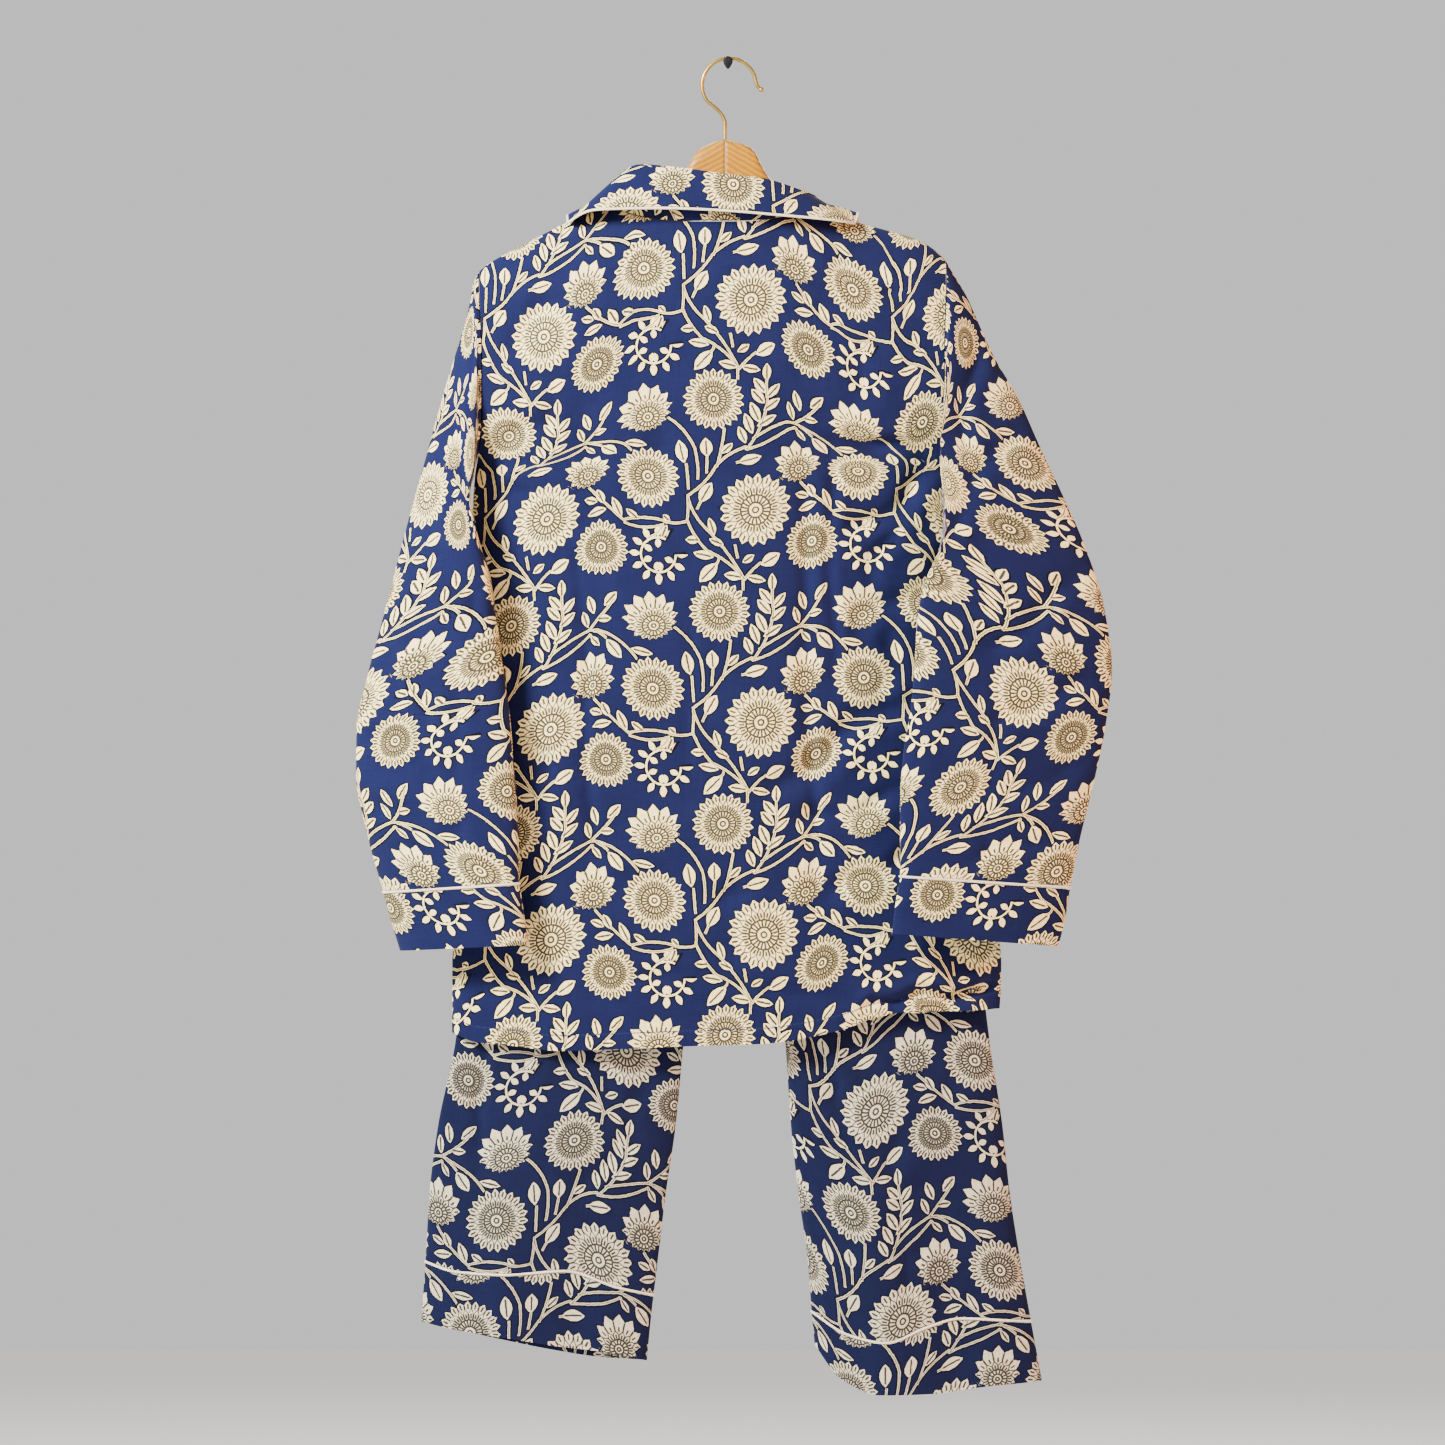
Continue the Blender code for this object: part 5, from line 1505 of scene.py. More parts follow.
@dataclass
class Sleeve:
    """One sleeve with its cuff band and the piping between them.

    Attributes:
        side: Which sleeve.
        form: Surfaces of the jacket's body, for the armhole.
        rings: Flattened rings from the armhole to the cuff seam.
        cuff_rings: Rings of the cuff band.
        creases: Creases of the side that shows.
        print_start: Print's coordinates at the underarm seam's lower end, in mm.
        cuff_shift: Print's shift on the cuff, in mm.
        around: Points round the sleeve.
        rows: Points along the sleeve.
        cuff_rows: Points along the cuff.
        blended: Rings over which the armhole's shape fades out.
        piping_seam: Opening of the seam that holds the piping, in mm.
    """

    side: Side
    form: JacketForm
    rings: tuple[Ring, ...]
    cuff_rings: tuple[Ring, ...]
    creases: tuple[Crease, ...]
    print_start: tuple[float, float]
    cuff_shift: tuple[float, float] = (55.0, -40.0)
    around: int = 116
    rows: int = 170
    cuff_rows: int = 13
    blended: int = 3
    piping_seam: float = 2.9

    def turns(self) -> Array:
        """Angles round the sleeve from the underarm seam over the front and the back."""
        return math.pi + np.linspace(0, 2 * math.pi, self.around, endpoint=False)

    def ring_points(self, row: Ring) -> Array:
        """Points of one flattened ring."""
        outer = np.array([row.outer_x, row.outer_y, row.outer_z], float)
        inner = np.array([row.inner_x, row.inner_y, row.inner_z], float)
        major = (outer - inner) / 2
        unit = major / np.linalg.norm(major)
        minor = np.array([0, -1, 0]) + unit[1] * unit
        minor /= np.linalg.norm(minor)
        turn = self.turns()
        full = np.sign(np.sin(turn)) * np.abs(np.sin(turn)) ** 0.85
        ring = (outer + inner) / 2 + np.outer(np.cos(turn), major) + np.outer(full, minor) * row.half_depth
        ring[:, 0] += math.copysign(row.bow, -row.outer_x) * np.maximum(0, np.sin(turn)) ** 2
        return ring

    @staticmethod
    def between(first: Ring, last: Ring, share: float) -> Ring:
        """Ring between two rings."""
        return Ring(*[a + (b - a) * share for a, b in zip(first, last)])

    def build(self, finishes: Finishes) -> None:
        """Make the sleeve, its cuff and its piping."""
        armhole = self.form.armhole(self.side, self.turns())
        knots = [armhole]
        for index, row in enumerate(self.rings):
            share = min(1.0, (index + 1) / self.blended)
            knots.append(armhole * (1 - share) + self.ring_points(row) * share)
        length = abs(self.rings[-1].outer_z - self.rings[-2].outer_z)
        knots[-1] = self.ring_points(self.between(self.rings[-2], self.rings[-1],
                                                  1 - self.piping_seam / 2 / length))
        at = smooth_through(np.arange(len(knots)), np.array(knots))
        outer = at(np.linspace(0, len(knots) - 1, self.rows))
        sleeve = self.dressed("cloth_sleeve_" + self.side.word, outer, self.print_start, self.rows - 1)
        length = abs(self.cuff_rings[0].outer_z - self.rings[-1].outer_z)
        upper = self.between(self.rings[-1], self.cuff_rings[0], self.piping_seam / 2 / length)
        bands = np.array([self.ring_points(row) for row in (upper,) + self.cuff_rings])
        cuff_outer = smooth_through([0, 0.5, 1], bands)(np.linspace(0, 1, self.cuff_rows))
        print_start = (self.print_start[0] + self.cuff_shift[0], self.print_start[1] + self.cuff_shift[1])
        cuff = self.dressed("cloth_cuff_" + self.side.word, cuff_outer, print_start, 0)
        path = (sleeve.outer[-1] + cuff.outer[0]) / 2
        away = path - path.mean(axis=0)
        path = path + away / np.linalg.norm(away, axis=1, keepdims=True) * 0.2
        cord = place_piping("cuff_piping_" + self.side.word, path, True, finishes)
        place_sheet(sleeve, finishes.cotton)
        place_sheet(cuff, finishes.cotton)

    def dressed(self, name: str, outer: Array, print_start: tuple[float, float],
                reference_row: int) -> ClothShell:
        """Tube with its creases and swell, still where its seams are.

        Args:
            name: Name of the piece.
            outer: Outer points.
            print_start: Print's coordinates at the seam.
            reference_row: Row that the print starts from.

        Returns:
            Shell, ready to build.
        """
        shell = ClothShell(name, outer, True, print_start, (reference_row, 0), across_sign=-self.side.value)
        x, z = outer[..., 0], outer[..., 2]
        facing = np.sin(self.turns())[None, :]
        back = np.clip(facing * 2.2, 0, 1)
        front = np.clip(-facing * 2.2, 0, 1)
        mirrored = [Crease(c.x0 + 12, c.z0 - 17, c.x1 + 9, c.z1 + 14, c.width, c.depth * 0.8, -c.bend)
                    for c in self.creases]
        height = crease_height(self.creases, x, z) * back + crease_height(mirrored, x, z) * front
        height = CREASE_GAIN * height + ripple(x, z, 2.2 * self.side.value) * np.abs(facing) ** 0.5
        height = height * fade_in(len(outer), min(8, len(outer) // 3), True, True)[:, None]
        shell.shift(height + puckers(outer, 0, reference_row > 0, 7, 0.25))
        return shell


SLEEVE_LEFT_RINGS = rows_of(
    Ring,
    (-221, -202, -222, -364, 0, -3, 30, 6), (-224, -231, -221, -378, 0, -13, 27, 10),
    (-236, -269, -214, -394, -2, -26, 24, 8), (-248, -312, -206, -412, -5, -36, 22, 4),
    (-260, -359, -200, -432, -8, -41, 21, 0), (-277, -422, -195, -463, -10, -42, 20, 0),
    (-290, -470, -189, -506, -10, -42, 19, 0), (-303, -518, -183, -548, -10, -42, 19, 0),
    (-312, -562, -180, -585, -10, -42, 19, 0), (-312, -600, -178, -612, -10, -42, 18, 0),
    (-303, -648, -176, -650, -10, -42, 18, 0), (-289, -699, -175, -691, -10, -42, 18, 0),
)
CUFF_LEFT_RINGS = rows_of(
    Ring,
    (-283, -723, -171, -716, -10, -42, 18, 0), (-275, -748, -167, -742, -10, -42, 17, 0),
)
SLEEVE_RIGHT_RINGS = rows_of(
    Ring,
    (196, -190, 208, -366, 0, -4, 31, 14), (209, -212, 206, -382, -1, -16, 29, 26),
    (223, -248, 193, -394, -4, -30, 23, 30), (243, -283, 181, -406, -8, -39, 19, 24),
    (262, -326, 171, -424, -12, -44, 16, 14), (281, -366, 163, -444, -15, -44, 14, 6),
    (300, -410, 158, -474, -18, -44, 13, 0), (316, -462, 156, -508, -20, -43, 12, 0),
    (322, -512, 153, -544, -20, -42, 12, 0), (317, -556, 147, -580, -20, -42, 12, 0),
    (306, -610, 144, -624, -20, -42, 12, 0), (295, -655, 144, -655, -20, -42, 12, 0),
    (287, -695, 144, -685, -20, -42, 12, 0),
)
CUFF_RIGHT_RINGS = rows_of(
    Ring,
    (283, -720, 140, -708, -20, -42, 12, 0), (277, -744, 137, -733, -20, -42, 12, 0),
)
SLEEVE_LEFT_CREASES = rows_of(
    Crease,
    (-236, -300, -216, -380, 6, 2.2, 4), (-262, -376, -210, -470, 7, 2.0, 6),
    (-292, -480, -240, -560, 8, 2.4, -5), (-306, -560, -236, -600, 8, 2.2, 4),
    (-300, -620, -226, -650, 8, 1.8, -4), (-232, -480, -222, -690, 5, 1.0),
    (-270, -660, -200, -690, 7, 1.4, 3),
)
SLEEVE_RIGHT_CREASES = rows_of(
    Crease,
    (210, -240, 196, -340, 6, 2.2, -4), (240, -310, 186, -400, 7, 2.0, -6),
    (292, -430, 214, -500, 8, 2.2, 5), (312, -520, 224, -560, 8, 2.4, -4),
    (300, -590, 200, -620, 8, 1.8, 4), (226, -500, 216, -690, 5, 1.0), (280, -650, 190, -680, 7, 1.4, -3),
)


@dataclass
class Collar:
    """Folded collar round the neck, with piping along its lower edge.

    Attributes:
        form: Surfaces of the jacket's body, for the neck seam.
        rows: Fold and edge from the left front round the back to the right.
        steps: Points round the neck.
    """

    form: JacketForm
    rows: tuple[CollarRow, ...]
    steps: int = 141

    def seat(self, places: Array) -> Array:
        """Line just above the neck seam."""
        form, seat = self.form, []
        edges = {side: form.neck_edge(side) for side in Side}
        for place in places:
            side = Side.LEFT if place < 0 else Side.RIGHT
            corner_x = form.neck_left_x if side is Side.LEFT else form.neck_right_x
            reach = abs(place)
            if reach <= 0.5:
                middle_x = (form.neck_left_x + form.neck_right_x) / 2
                x = np.array(middle_x + (corner_x - middle_x) * math.sin(reach * math.pi))
                z = form.neck_z(x)
                y = -(SEAM_GAP / 2 + float(form.depth(x, z, form.back_depth, ())))
                seat.append((float(x), y + 1.9, float(z) + 1))
            else:
                corner_z = float(form.shoulder_z(np.array(corner_x)))
                z = np.array(corner_z + (-186 - corner_z) * (reach - 0.5) / 0.5)
                x = edges[side](z)
                y = SEAM_GAP / 2 + float(form.depth(x, z, form.front_depth, ()))
                seat.append((float(x) - side.value * 1.9, y + 1, float(z) + 1))
        return np.array(seat)

    def build(self, finishes: Finishes) -> None:
        """Make the collar and its piping."""
        w = np.linspace(-1, 1, self.steps)
        fold = np.stack([column(self.rows, "fold_" + axis, "w")(w) for axis in "xyz"], axis=-1)
        edge = np.stack([column(self.rows, "edge_" + axis, "w")(w) for axis in "xyz"], axis=-1)
        seat = self.seat(w)
        out = edge - fold
        out[:, 2] = 0
        out /= np.linalg.norm(out, axis=1, keepdims=True)
        down = np.array([0, 0, 1.3])
        knots = np.stack([
            seat, seat + (fold - seat) * 0.5 - out * 0.4, fold - out * 1.3 - down,
            fold + np.array([0, 0, 0.4]), fold + out * 1.9 - down,
            fold + (edge - fold) * 0.5 + out * 1.2, edge])
        outer = smooth_through([0, 0.25, 0.5, 0.55, 0.6, 0.8, 1], knots)(
            np.concatenate([np.linspace(0, 0.48, 8), np.linspace(0.5, 0.62, 9), np.linspace(0.66, 1, 10)]))
        outer = outer.transpose(1, 0, 2)
        normal = grid_normals(outer, False)
        if normal[self.steps // 2, 22, 1] > 0:
            normal = -normal
        hang = edge - fold
        hang /= np.linalg.norm(hang, axis=1, keepdims=True)
        path = edge - normal[:, -1] * 0.6 + hang * 1.6
        cord = place_piping("collar_piping", path, False, finishes)
        shell = CollarShell("cloth_collar", outer, False, (0.0, 0.0), (self.steps // 2, 26),
                            thickness=1.1, doubled=True, middle_normal=normal)
        place_sheet(shell, finishes.cotton)


@dataclass
class CollarShell(ClothShell):
    """Shell whose outer side is given, because a folded collar faces every way."""

    middle_normal: Optional[Array] = None

    def outward(self) -> Array:
        """Normals of the collar's outer side."""
        return self.middle_normal

    def flat(self) -> Array:
        """Flat coordinates with the print upright on the collar's fall."""
        turned = super().flat()
        u, v = turned[..., 0], turned[..., 1]
        return np.stack([-v + 68.0, -u - 130.0], axis=-1)


COLLAR_ROWS = rows_of(
    CollarRow,
    (-1.00, -42, 38, -190, -74, 46, -222), (-0.80, -72, 31, -162, -112, 36, -186),
    (-0.62, -93, 16, -124, -131, 16, -143), (-0.54, -98, 4, -112, -134, 1, -128.5),
    (-0.46, -99, -8, -107, -133, -12, -135), (-0.30, -74, -25, -89, -112, -31, -126),
    (-0.15, -40, -29, -92, -55, -36, -124.5), (0.00, -4, -30, -97, -4, -38, -126.5),
    (0.15, 30, -29, -101, 40, -36, -130), (0.30, 57, -25, -109, 84, -30, -134),
    (0.46, 75, -9, -115.5, 105, -13, -136), (0.54, 77, 3, -118, 108, 1, -127),
    (0.62, 76, 15, -127, 108, 16, -141), (0.80, 58, 31, -156, 97, 35, -182),
    (1.00, 26, 38, -190, 58, 45, -222),
)
TROUSER_LEVELS = rows_of(
    LegLevel,
    (-208, -181.2, 2, 2, 176.2, 13), (-320, -188, 2, 2, 177, 15), (-450, -192, 2, 2, 178, 14),
    (-600, -204, -10, 25, 194, 13), (-700, -216, -22, 35, 206, 12), (-823, -229, -37, 48, 220, 11),
    (-896, -244, -44, 53, 231, 13), (-951, -251, -52, 59, 237, 15), (-1009, -254.5, -59, 67, 246, 17),
    (-1060, -258, -65, 71, 255, 18), (-1125, -261, -71, 78, 267, 18),
)
PIPING_LEFT = rows_of(
    LegLine,
    (0.00, -1010, -1010), (0.14, -1018, -1018), (0.35, -1020, -1028), (0.60, -1017, -1034),
    (0.84, -1031, -1040), (1.00, -1038, -1038),
)
HEM_LEFT = rows_of(
    LegLine,
    (0.00, -1060, -1060), (0.14, -1066, -1067), (0.35, -1072, -1077), (0.60, -1080, -1086),
    (0.84, -1086, -1092), (1.00, -1093, -1093),
)
PIPING_RIGHT = rows_of(
    LegLine,
    (0.00, -1052, -1052), (0.16, -1071, -1066), (0.32, -1077, -1070), (0.52, -1064, -1070),
    (0.68, -1057, -1068), (1.00, -1060, -1060),
)
HEM_RIGHT = rows_of(
    LegLine,
    (0.00, -1080, -1080), (0.10, -1108, -1100), (0.26, -1121, -1112), (0.50, -1120, -1114),
    (0.75, -1114, -1112), (1.00, -1110, -1110),
)
LEG_FOLDS = rows_of(
    Fold,
    (-207, -815, -210, -915, 10, 4.0), (68, -818, 92, -875, 12, 4.0), (118, -960, 135, -1110, 22, -5.0),
    (190, -980, 196, -1110, 22, 5.0), (-190, -960, -186, -1080, 20, -4.0),
    (-120, -960, -126, -1085, 20, 4.0),
)
LEG_CREASES = rows_of(
    Crease,
    (-206, -826, -211, -915, 4, 1.8), (66, -822, 92, -872, 5, 2.4, 3), (-150, -840, -90, -880, 8, 1.2, 3),
    (-60, -850, -130, -960, 9, 1.5, 5), (90, -900, 170, -950, 9, 1.4, -4),
    (200, -840, 130, -930, 9, 1.6, 4), (-230, -960, -170, -1000, 8, 1.2), (160, -990, 150, -1050, 6, 1.2),
    (-150, -880, -152, -1010, 4, 0.8), (140, -900, 152, -1040, 4, 0.8),
)


@dataclass
class Trousers:
    """Trousers that hang by their waistband from the ends of the hanger.

    Attributes:
        waist_top: Height of the waistband's upper edge, in mm.
        waist_seam: Height of the seam under the waistband, in mm.
        waist_depth: Half depth of the waistband's upper edge, in mm.
        crotch_z: Height where the legs part, in mm.
        crotch_pinch: Height over which the seat turns into two legs, in mm.
        piping_seam: Opening of the seam that holds the piping, in mm.
        shown_below: Height below which the legs show under the jacket, in mm.
        rows: Points down a leg panel.
        columns: Points across a leg panel.
        print_shift: Print's shift on each leg, in mm.
    """

    waist_top: float = -176.0
    waist_seam: float = -206.0
    waist_depth: float = 11.5
    crotch_z: float = -450.0
    crotch_pinch: float = 130.0
    piping_seam: float = 2.9
    shown_below: float = -700.0
    rows: int = 240
    columns: int = 65
    print_shift = {Side.LEFT: (96.0, 330.0), Side.RIGHT: (20.0, 380.0)}

    def __post_init__(self) -> None:
        """Make the curves of the legs' table."""
        self.curves = {name: column(TROUSER_LEVELS, name, "z") for name in LegLevel._fields[1:]}

    def edges(self, side: Side, z: Array) -> tuple[Array, Array]:
        """Left and right edge of one leg at a height."""
        if side is Side.LEFT:
            return self.curves["left_outer"](z), self.curves["left_inner"](z)
        return self.curves["right_inner"](z), self.curves["right_outer"](z)

    def leg_depth(self, side: Side, z: Array, share: Array) -> Array:
        """Half depth of a leg at a share of its width from the left."""
        closed = ease(np.clip((self.crotch_z + self.crotch_pinch - z) / self.crotch_pinch, 0, 1))
        from_outer = share if side is Side.LEFT else 1 - share
        reach = from_outer * (1 + np.sin(closed * math.pi / 2)) - 1
        return self.curves["half_depth"](z) * np.sqrt(np.maximum(0, 1 - np.minimum(1, np.abs(reach)) ** 2))

    def folds(self, x: Array, z: Array, share: Array) -> Array:
        """Broad folds of the legs, faded out at the side seams."""
        return broad_height(LEG_FOLDS, x, z) * np.sin(math.pi * share)

    def panel(self, side: Side, facing: Facing) -> ClothShell:
        """One leg panel from the waist seam to the piping."""
        rows, cols = self.rows, self.columns
        shares = (1 - np.cos(np.linspace(0, math.pi, cols))) / 2
        shares = 0.6 * shares + 0.4 * np.linspace(0, 1, cols)
        seam = PIPING_LEFT if side is Side.LEFT else PIPING_RIGHT
        line = column(seam, facing.name.lower(), "across")(shares)[None, :]
        down = np.linspace(0, 1, rows)[:, None]
        top = self.waist_seam - SEAM_GAP
        z = top + (line + self.piping_seam / 2 - top) * down + 0 * shares[None, :]
        left, right = self.edges(side, z)
        closing = np.where(z > self.crotch_z, SEAM_GAP / 2, 0)
        if side is Side.LEFT:
            right = right - closing
        else:
            left = left + closing
        share = shares[None, :]
        x = left + (right - left) * share
        y = facing.value * (SEAM_GAP / 2 + self.leg_depth(side, z, share) + self.folds(x, z, share))
        outer = np.stack([x, y, z], axis=-1)
        low, shift = outer[-1, cols // 2], self.print_shift[side]
        name = "cloth_trouser_%s_%s" % (facing.name.lower(), side.word)
        shell = ClothShell(name, outer, False, (low[0] + shift[0], low[2] + shift[1]), (rows - 1, cols // 2),
                           across_sign=-facing.value, towards=facing.value)
        hidden = 0 if facing is Facing.BACK else 23
        height = CREASE_GAIN * crease_height(LEG_CREASES, x + hidden, z) + ripple(x, z, 3 + side.value)
        low_only = np.clip((self.shown_below - z) / 60, 0, 1)
        weight = fade_in(rows, 10, True, True)[:, None] * fade_in(cols, 8, True, True)[None, :]
        shell.shift(height * weight * low_only)
        return shell

    def ring(self, side: Side, z: Array, turn: Array) -> Array:
        """Points round a leg at given heights: over the back, then over the front."""
        share = (1 - np.cos(turn)) / 2
        left, right = self.edges(side, z)
        x = left + (right - left) * share
        facing = np.where(turn <= math.pi, -1.0, 1.0)
        depth = self.leg_depth(side, z, share) + self.folds(x, z, share)
        return np.stack([x, facing * depth, z], axis=-1)

    def line_z(self, table: Sequence[LegLine], turn: Array) -> Array:
        """Height of a seam at angles round a leg."""
        share = (1 - np.cos(turn)) / 2
        return np.where(turn <= math.pi, column(table, "back", "across")(share),
                        column(table, "front", "across")(share))

    def hem(self, side: Side, finishes: Finishes) -> None:
        """Make one hem band with the piping above it."""
        lines, lower = (PIPING_LEFT, HEM_LEFT) if side is Side.LEFT else (PIPING_RIGHT, HEM_RIGHT)
        turn = np.linspace(0, 2 * math.pi, 96, endpoint=False)
        upper_z = self.line_z(lines, turn) - self.piping_seam / 2
        lower_z = self.line_z(lower, turn)
        outer = np.array([self.ring(side, upper_z + (lower_z - upper_z) * down, turn)
                          for down in np.linspace(0, 1, 12)])
        shell = ClothShell("cloth_hem_band_" + side.word, outer, True, (30.0, -60.0), (0, 0))
        path = self.ring(side, self.line_z(lines, turn), turn)
        cord = place_piping("hem_piping_" + side.word, path, True, finishes)
        # Painted shade: the hem band takes the darker copy of the cotton.
        place_sheet(shell, finishes.leg_cotton)

    def waistband(self, finishes: Finishes) -> None:
        """Make the gathered elastic waistband."""
        turn = np.linspace(0, 2 * math.pi, 120, endpoint=False)
        rings = []
        left = self.curves["left_outer"](self.waist_seam)
        right = self.curves["right_outer"](self.waist_seam)
        middle, half = (left + right) / 2, (right - left) / 2
        for down in np.linspace(0, 1, 9):
            depth = self.waist_depth + (self.curves["half_depth"](self.waist_seam) - self.waist_depth) * down
            x = middle - half * np.sign(np.cos(turn)) * np.abs(np.cos(turn)) ** 0.8
            y = -depth * np.sign(np.sin(turn)) * np.abs(np.sin(turn)) ** 0.4
            y = y * (1 + 0.02 * np.sin(30 * turn) * (1 - down))
            z = self.waist_top + (self.waist_seam - self.waist_top) * down
            rings.append(np.stack([x, y, np.full_like(x, z)], axis=-1))
        shell = ClothShell("cloth_waistband", np.array(rings), True, (0.0, 0.0), (0, 0))
        # Painted shade: the waistband takes the darker copy of the cotton.
        place_sheet(shell, finishes.leg_cotton)

    def build(self, finishes: Finishes) -> None:
        """Make the whole pair of trousers."""
        self.waistband(finishes)
        for side in Side:
            for facing in Facing:
                # Painted shade: the leg panels take the darker copy of the cotton.
                place_sheet(self.panel(side, facing), finishes.leg_cotton)
            self.hem(side, finishes)


@dataclass
class Buttons:
    """Four-hole buttons down the front, modelled once and copied.

    Attributes:
        form: Surfaces of the jacket's body, which the buttons lie on.
        levels: Heights of the buttons, in mm.
        radius: Radius in mm.
        thickness: Thickness in mm.
        hole_place: Distance of a hole from both middle lines, in mm.
        hole_radius: Radius of a hole, in mm.
        gap: Space between the cloth and a button, in mm.
    """

    form: JacketForm
    levels: tuple[float, ...] = (-275, -415, -555, -695)
    radius: float = 6.0
    thickness: float = 2.6
    hole_place: float = 1.1
    hole_radius: float = 0.55
    gap: float = 0.4

    def pattern(self, material: Material) -> Object:
        """Model one button with a raised rim and four holes, centred on the origin, facing +Y."""
        bpy.ops.object.select_all(action="DESELECT")
        button = cylinder(self.radius, self.thickness, 40, turn=-math.pi / 2)
        bpy.ops.object.transform_apply(location=False, rotation=True, scale=False)
        for polygon in button.data.polygons:
            polygon.select = polygon.normal.y > 0.9
        bpy.ops.object.mode_set(mode="EDIT")
        bpy.ops.mesh.inset(thickness=1.0 * MM)
        bpy.ops.mesh.inset(thickness=0.5 * MM, depth=-0.6 * MM)
        bpy.ops.object.mode_set(mode="OBJECT")
        round_edges(button, 0.35, 3)
        places = (-self.hole_place, self.hole_place)
        for hole in [cylinder(self.hole_radius, 9, 16, (x, 0, z)) for x in places for z in places]:
            cut = button.modifiers.new("hole", "BOOLEAN")
            cut.operation, cut.object, cut.solver = "DIFFERENCE", hole, "EXACT"
            bpy.context.view_layer.objects.active = button
            bpy.ops.object.modifier_apply(modifier=cut.name)
            bpy.data.objects.remove(hole, do_unlink=True)
        dress_mesh(button.data, material, 35)
        return button

    def build(self, finishes: Finishes) -> None:
        """Set a copy of the button at each level."""
        pattern = self.pattern(finishes.button)
        for number, level in enumerate(self.levels, start=1):
            x, z = np.array(self.form.closure_x), np.array(float(level))
            surface = SEAM_GAP / 2 + float(self.form.depth(x, z, self.form.front_depth, FRONT_FOLDS))
            y = surface + self.form.overlap_lift + self.gap + self.thickness / 2
            made = pattern.copy()
            made.data = pattern.data.copy()
            made.name = made.data.name = "sewn_button_%d" % number
            bpy.context.collection.objects.link(made)
            shift = np.array([self.form.closure_x, y, level]) * MM
            for vertex in made.data.vertices:
                vertex.co = [a + b for a, b in zip(vertex.co, shift)]
            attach(made, "root")
            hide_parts("button_%d" % number)
            LOG.info("%s at %.0f mm", made.name, level)
        bpy.data.objects.remove(pattern, do_unlink=True)


@dataclass
class Hanger:
    """Wooden hanger in two glued halves, with its bent wire hook.

    Attributes:
        stem: Wire's path from inside the wood up to the crook, in mm.
        end: Wire's path from the crook to its free end, in mm.
        crook: Centre of the crook, in mm.
        crook_radius: Radius of the crook, in mm.
        crook_degrees: First and last angle of the crook.
        wire_radius: Radius of the wire, in mm.
        tip_radius: Radius of the rounded tip, in mm.
    """

    stem: tuple[Point, ...] = rows_of(
        Point,
        (-2.5, -65.7), (-2.5, -58), (-2.5, -52), (-4.5, -46), (-12, -38),
    )
    end: tuple[Point, ...] = rows_of(
        Point,
        (24.6, -20.5), (28, -24),
    )
    crook: Point = Point(1, -20.3)
    crook_radius: float = 22.7
    crook_degrees: tuple[float, float] = (214.0, 8.0)
    wire_radius: float = 1.6
    tip_radius: float = 2.1

    def paint(self, node: str, material: Material) -> None:
        """Give a CAD node its finish."""
        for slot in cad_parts[node].material_slots:
            slot.material = material
        LOG.info("%s: %s", node, material.name)

    def route(self) -> Array:
        """Wire's middle line, smooth and evenly spaced."""
        turns = np.radians(np.linspace(*self.crook_degrees, 17))
        crook = np.stack([self.crook.x + self.crook_radius * np.cos(turns),
                          self.crook.z + self.crook_radius * np.sin(turns)], axis=-1)
        knots = np.concatenate([np.array(self.stem, float), crook, np.array(self.end, float)])
        along = lengths_along(knots)
        return smooth_through(along, knots)(np.linspace(0, along[-1], 110))

    def hook(self, material: Material) -> None:
        """Sweep the wire along its route and round off its tip."""
        route = self.route()
        bpy.ops.object.select_all(action="DESELECT")
        bpy.ops.curve.primitive_nurbs_path_add(location=(0, 0, 0))
        wire_object = bpy.context.active_object
        curve = wire_object.data
        curve.splines.clear()
        spline = curve.splines.new("POLY")
        spline.points.add(len(route) - 1)
        for point, (x, z) in zip(spline.points, route):
            point.co = (x * MM, 0, z * MM, 1)
        curve.dimensions = "3D"
        curve.bevel_depth = self.wire_radius * MM
        curve.bevel_resolution = 5
        curve.use_fill_caps = True
        bpy.ops.object.convert(target="MESH")
        wire_object = bpy.context.active_object
        bpy.ops.object.select_all(action="DESELECT")
        bpy.ops.mesh.primitive_uv_sphere_add(segments=24, ring_count=14, radius=self.tip_radius * MM,
                                             location=(route[-1][0] * MM, 0, route[-1][1] * MM))
        bpy.ops.object.mode_set(mode="EDIT")
        bpy.ops.mesh.select_all(action="SELECT")
        bpy.ops.transform.resize(value=(1.0, 0.92, 1.08))
        bpy.ops.object.mode_set(mode="OBJECT")
        wire_object.select_set(True)
        bpy.context.view_layer.objects.active = wire_object
        bpy.ops.object.join()
        bpy.ops.object.transform_apply(location=True, rotation=True, scale=True)
        wire_object.name = wire_object.data.name = "wire_hook"
        dress_mesh(wire_object.data, material)
        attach(wire_object, "root")
        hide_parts("hanger_hook")
        LOG.info("%s", wire_object.name)

    def build(self, finishes: Finishes) -> None:
        """Dress the two halves and make the hook."""
        self.paint("hanger_half_left", finishes.beech_left)
        self.paint("hanger_half_right", finishes.beech_right)
        self.hook(finishes.brass)


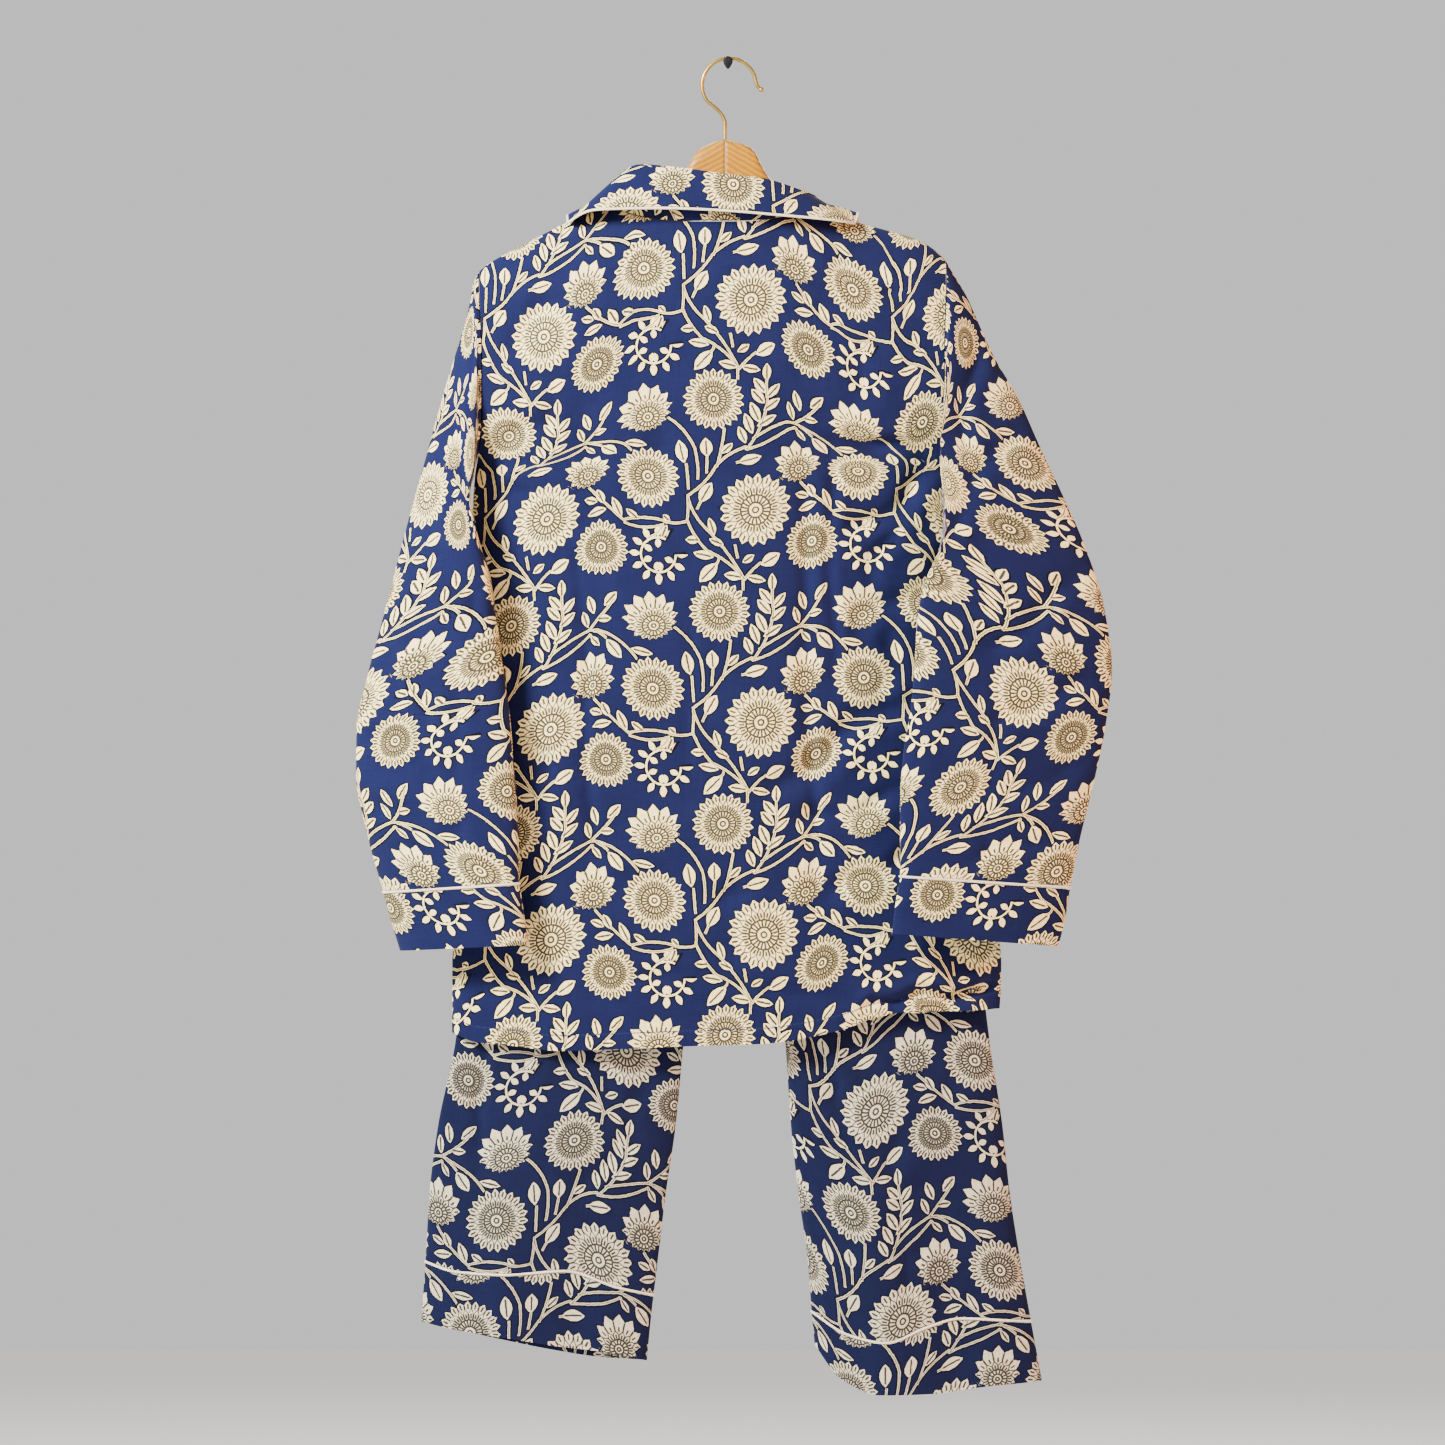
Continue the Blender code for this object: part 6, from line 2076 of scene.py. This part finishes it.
@dataclass
class WallNail:
    """Small nail with a drop-shaped head in front of the wire.

    Attributes:
        head_radius: Radius of the head, in mm.
        head_z: Height of the head's middle, in mm.
        head_point: Length by which the head's lower end is drawn out, in mm.
        head_y: Front and rear face of the head, in mm.
        shank_radius: Radius of the shank, in mm.
        shank_z: Height of the shank's middle, in mm.
        wall_y: Face of the wall, in mm.
    """

    head_radius: float = 4.1
    head_z: float = -0.4
    head_point: float = 2.4
    head_y: tuple[float, float] = (-6.5, -3.9)
    shank_radius: float = 1.5
    shank_z: float = -1.65
    wall_y: float = 42.0

    def build(self, finishes: Finishes) -> None:
        """Make the head and the shank as one piece."""
        bpy.ops.object.select_all(action="DESELECT")
        middle = (self.head_y[0] + self.head_y[1]) / 2
        head = cylinder(self.head_radius, self.head_y[1] - self.head_y[0], 40, (0, middle, self.head_z))
        bpy.ops.object.transform_apply(location=True, rotation=True, scale=True)
        for vertex in head.data.vertices:
            low = max(0.0, (self.head_z * MM - vertex.co.z) / (self.head_radius * MM))
            vertex.co.z -= low ** 4 * self.head_point * MM
        round_edges(head, 0.9, 4)
        bpy.ops.object.select_all(action="DESELECT")
        length = self.wall_y - self.head_y[1] + 1
        shank = cylinder(self.shank_radius, length, 28, (0, self.wall_y - length / 2, self.shank_z))
        bpy.ops.object.transform_apply(location=True, rotation=True, scale=True)
        round_edges(shank, 0.2, 2)
        head.select_set(True)
        bpy.context.view_layer.objects.active = head
        bpy.ops.object.join()
        head.name = head.data.name = "lacquered_nail"
        dress_mesh(head.data, finishes.lacquer, 40)
        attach(head, "root")
        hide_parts("wall_nail")
        LOG.info("%s", head.name)


class Lamp(NamedTuple):
    """Soft square light: place and size in metres, power in watts."""

    name: str
    place: tuple[float, float, float]
    size: float
    power: float
    colour: str


@dataclass
class Studio:
    """Camera at the photograph's angle, pale floor and soft lights.

    Attributes:
        distance: Camera's distance from the middle plane, in mm.
        frame_width: Width that the photograph's frame covers there, in mm.
        centre_x: Frame's centre across, in mm.
        centre_z: Frame's centre height, in mm.
        sensor: Width of the camera's sensor, in mm.
        aim: Point that the lights look at, in metres.
        floor_size: Width of the floor, in metres.
        floor_z: Height of the floor, in metres.
        sky: Strength of the even white light from all round.
        lamps: The lights.
    """

    distance: float = 6500.0
    frame_width: float = 1213.8
    centre_x: float = -4.6
    centre_z: float = -556.5
    sensor: float = 36.0
    aim: tuple[float, float, float] = (0, 0, -0.55)
    floor_size: float = 9.0
    floor_z: float = -1.45
    sky: float = 0.75
    lamps: tuple[Lamp, ...] = rows_of(
        Lamp,
        ("key_light", (-1.25, -1.15, 0.5), 0.5, 165, "#FFFCF8"),
        ("warm_fill", (1.9, -0.8, -0.2), 0.6, 40, "#FF9130"),
        ("far_fill", (0.2, 2.6, 0.9), 1.6, 60, "#FFFFFF"),
    )

    def camera(self) -> None:
        """Set the camera square to the back of the garment."""
        data = bpy.data.cameras.new("camera")
        data.sensor_width = self.sensor
        data.lens = self.sensor * (self.distance - 10) / self.frame_width
        made = add_object("camera", data)
        made.location = (self.centre_x * MM, -self.distance * MM, self.centre_z * MM)
        made.rotation_euler = (math.pi / 2, 0, 0)
        bpy.context.scene.camera = made

    def light(self, lamp: Lamp) -> None:
        """Add a light that looks at the garment's middle."""
        data = bpy.data.lights.new(lamp.name, "AREA")
        data.size, data.energy, data.color = lamp.size, lamp.power, linear(lamp.colour)[:3]
        made = add_object(lamp.name, data)
        made.location = lamp.place
        way = np.array(self.aim) - np.array(lamp.place)
        way = way / np.linalg.norm(way)
        made.rotation_euler = (math.acos(-way[2]), 0, math.atan2(way[1], way[0]) - math.pi / 2)

    def floor(self) -> None:
        """Lay the pale floor."""
        bpy.ops.object.select_all(action="DESELECT")
        bpy.ops.mesh.primitive_plane_add(size=self.floor_size, location=(0, 0, self.floor_z))
        floor = bpy.context.active_object
        floor.name = "pale_floor"
        bpy.ops.object.transform_apply(location=True, rotation=True, scale=True)
        material, _, shader = blank_material("pale_floor_paint")
        preset(shader, Base_Color=linear("#F4F3F1"), Roughness=0.9)
        floor.data.materials.append(material)

    def build(self) -> None:
        """Set the whole studio."""
        self.camera()
        self.floor()
        world = bpy.data.worlds.new("pale_studio")
        world.use_nodes = True
        background = world.node_tree.nodes["Background"]
        background.inputs[0].default_value = linear("#FFFFFF")
        background.inputs[1].default_value = self.sky
        bpy.context.scene.world = world
        for lamp in self.lamps:
            self.light(lamp)


def main() -> None:
    """Build the pyjama set piece by piece, then the studio."""
    logging.basicConfig(level=logging.INFO, format="%(name)s: %(message)s")
    finishes = Finishes.make()
    form = JacketForm()
    Studio().build()
    Trousers().build(finishes)
    JacketBody(form).build(finishes)
    left = (SLEEVE_LEFT_RINGS, CUFF_LEFT_RINGS, SLEEVE_LEFT_CREASES, (20.0, -120.0))
    right = (SLEEVE_RIGHT_RINGS, CUFF_RIGHT_RINGS, SLEEVE_RIGHT_CREASES, (70.0, -120.0))
    Sleeve(Side.LEFT, form, *left).build(finishes)
    Sleeve(Side.RIGHT, form, *right).build(finishes)
    Collar(form, COLLAR_ROWS).build(finishes)
    Buttons(form).build(finishes)
    Hanger().build(finishes)
    WallNail().build(finishes)


if __name__ == "__main__":
    main()
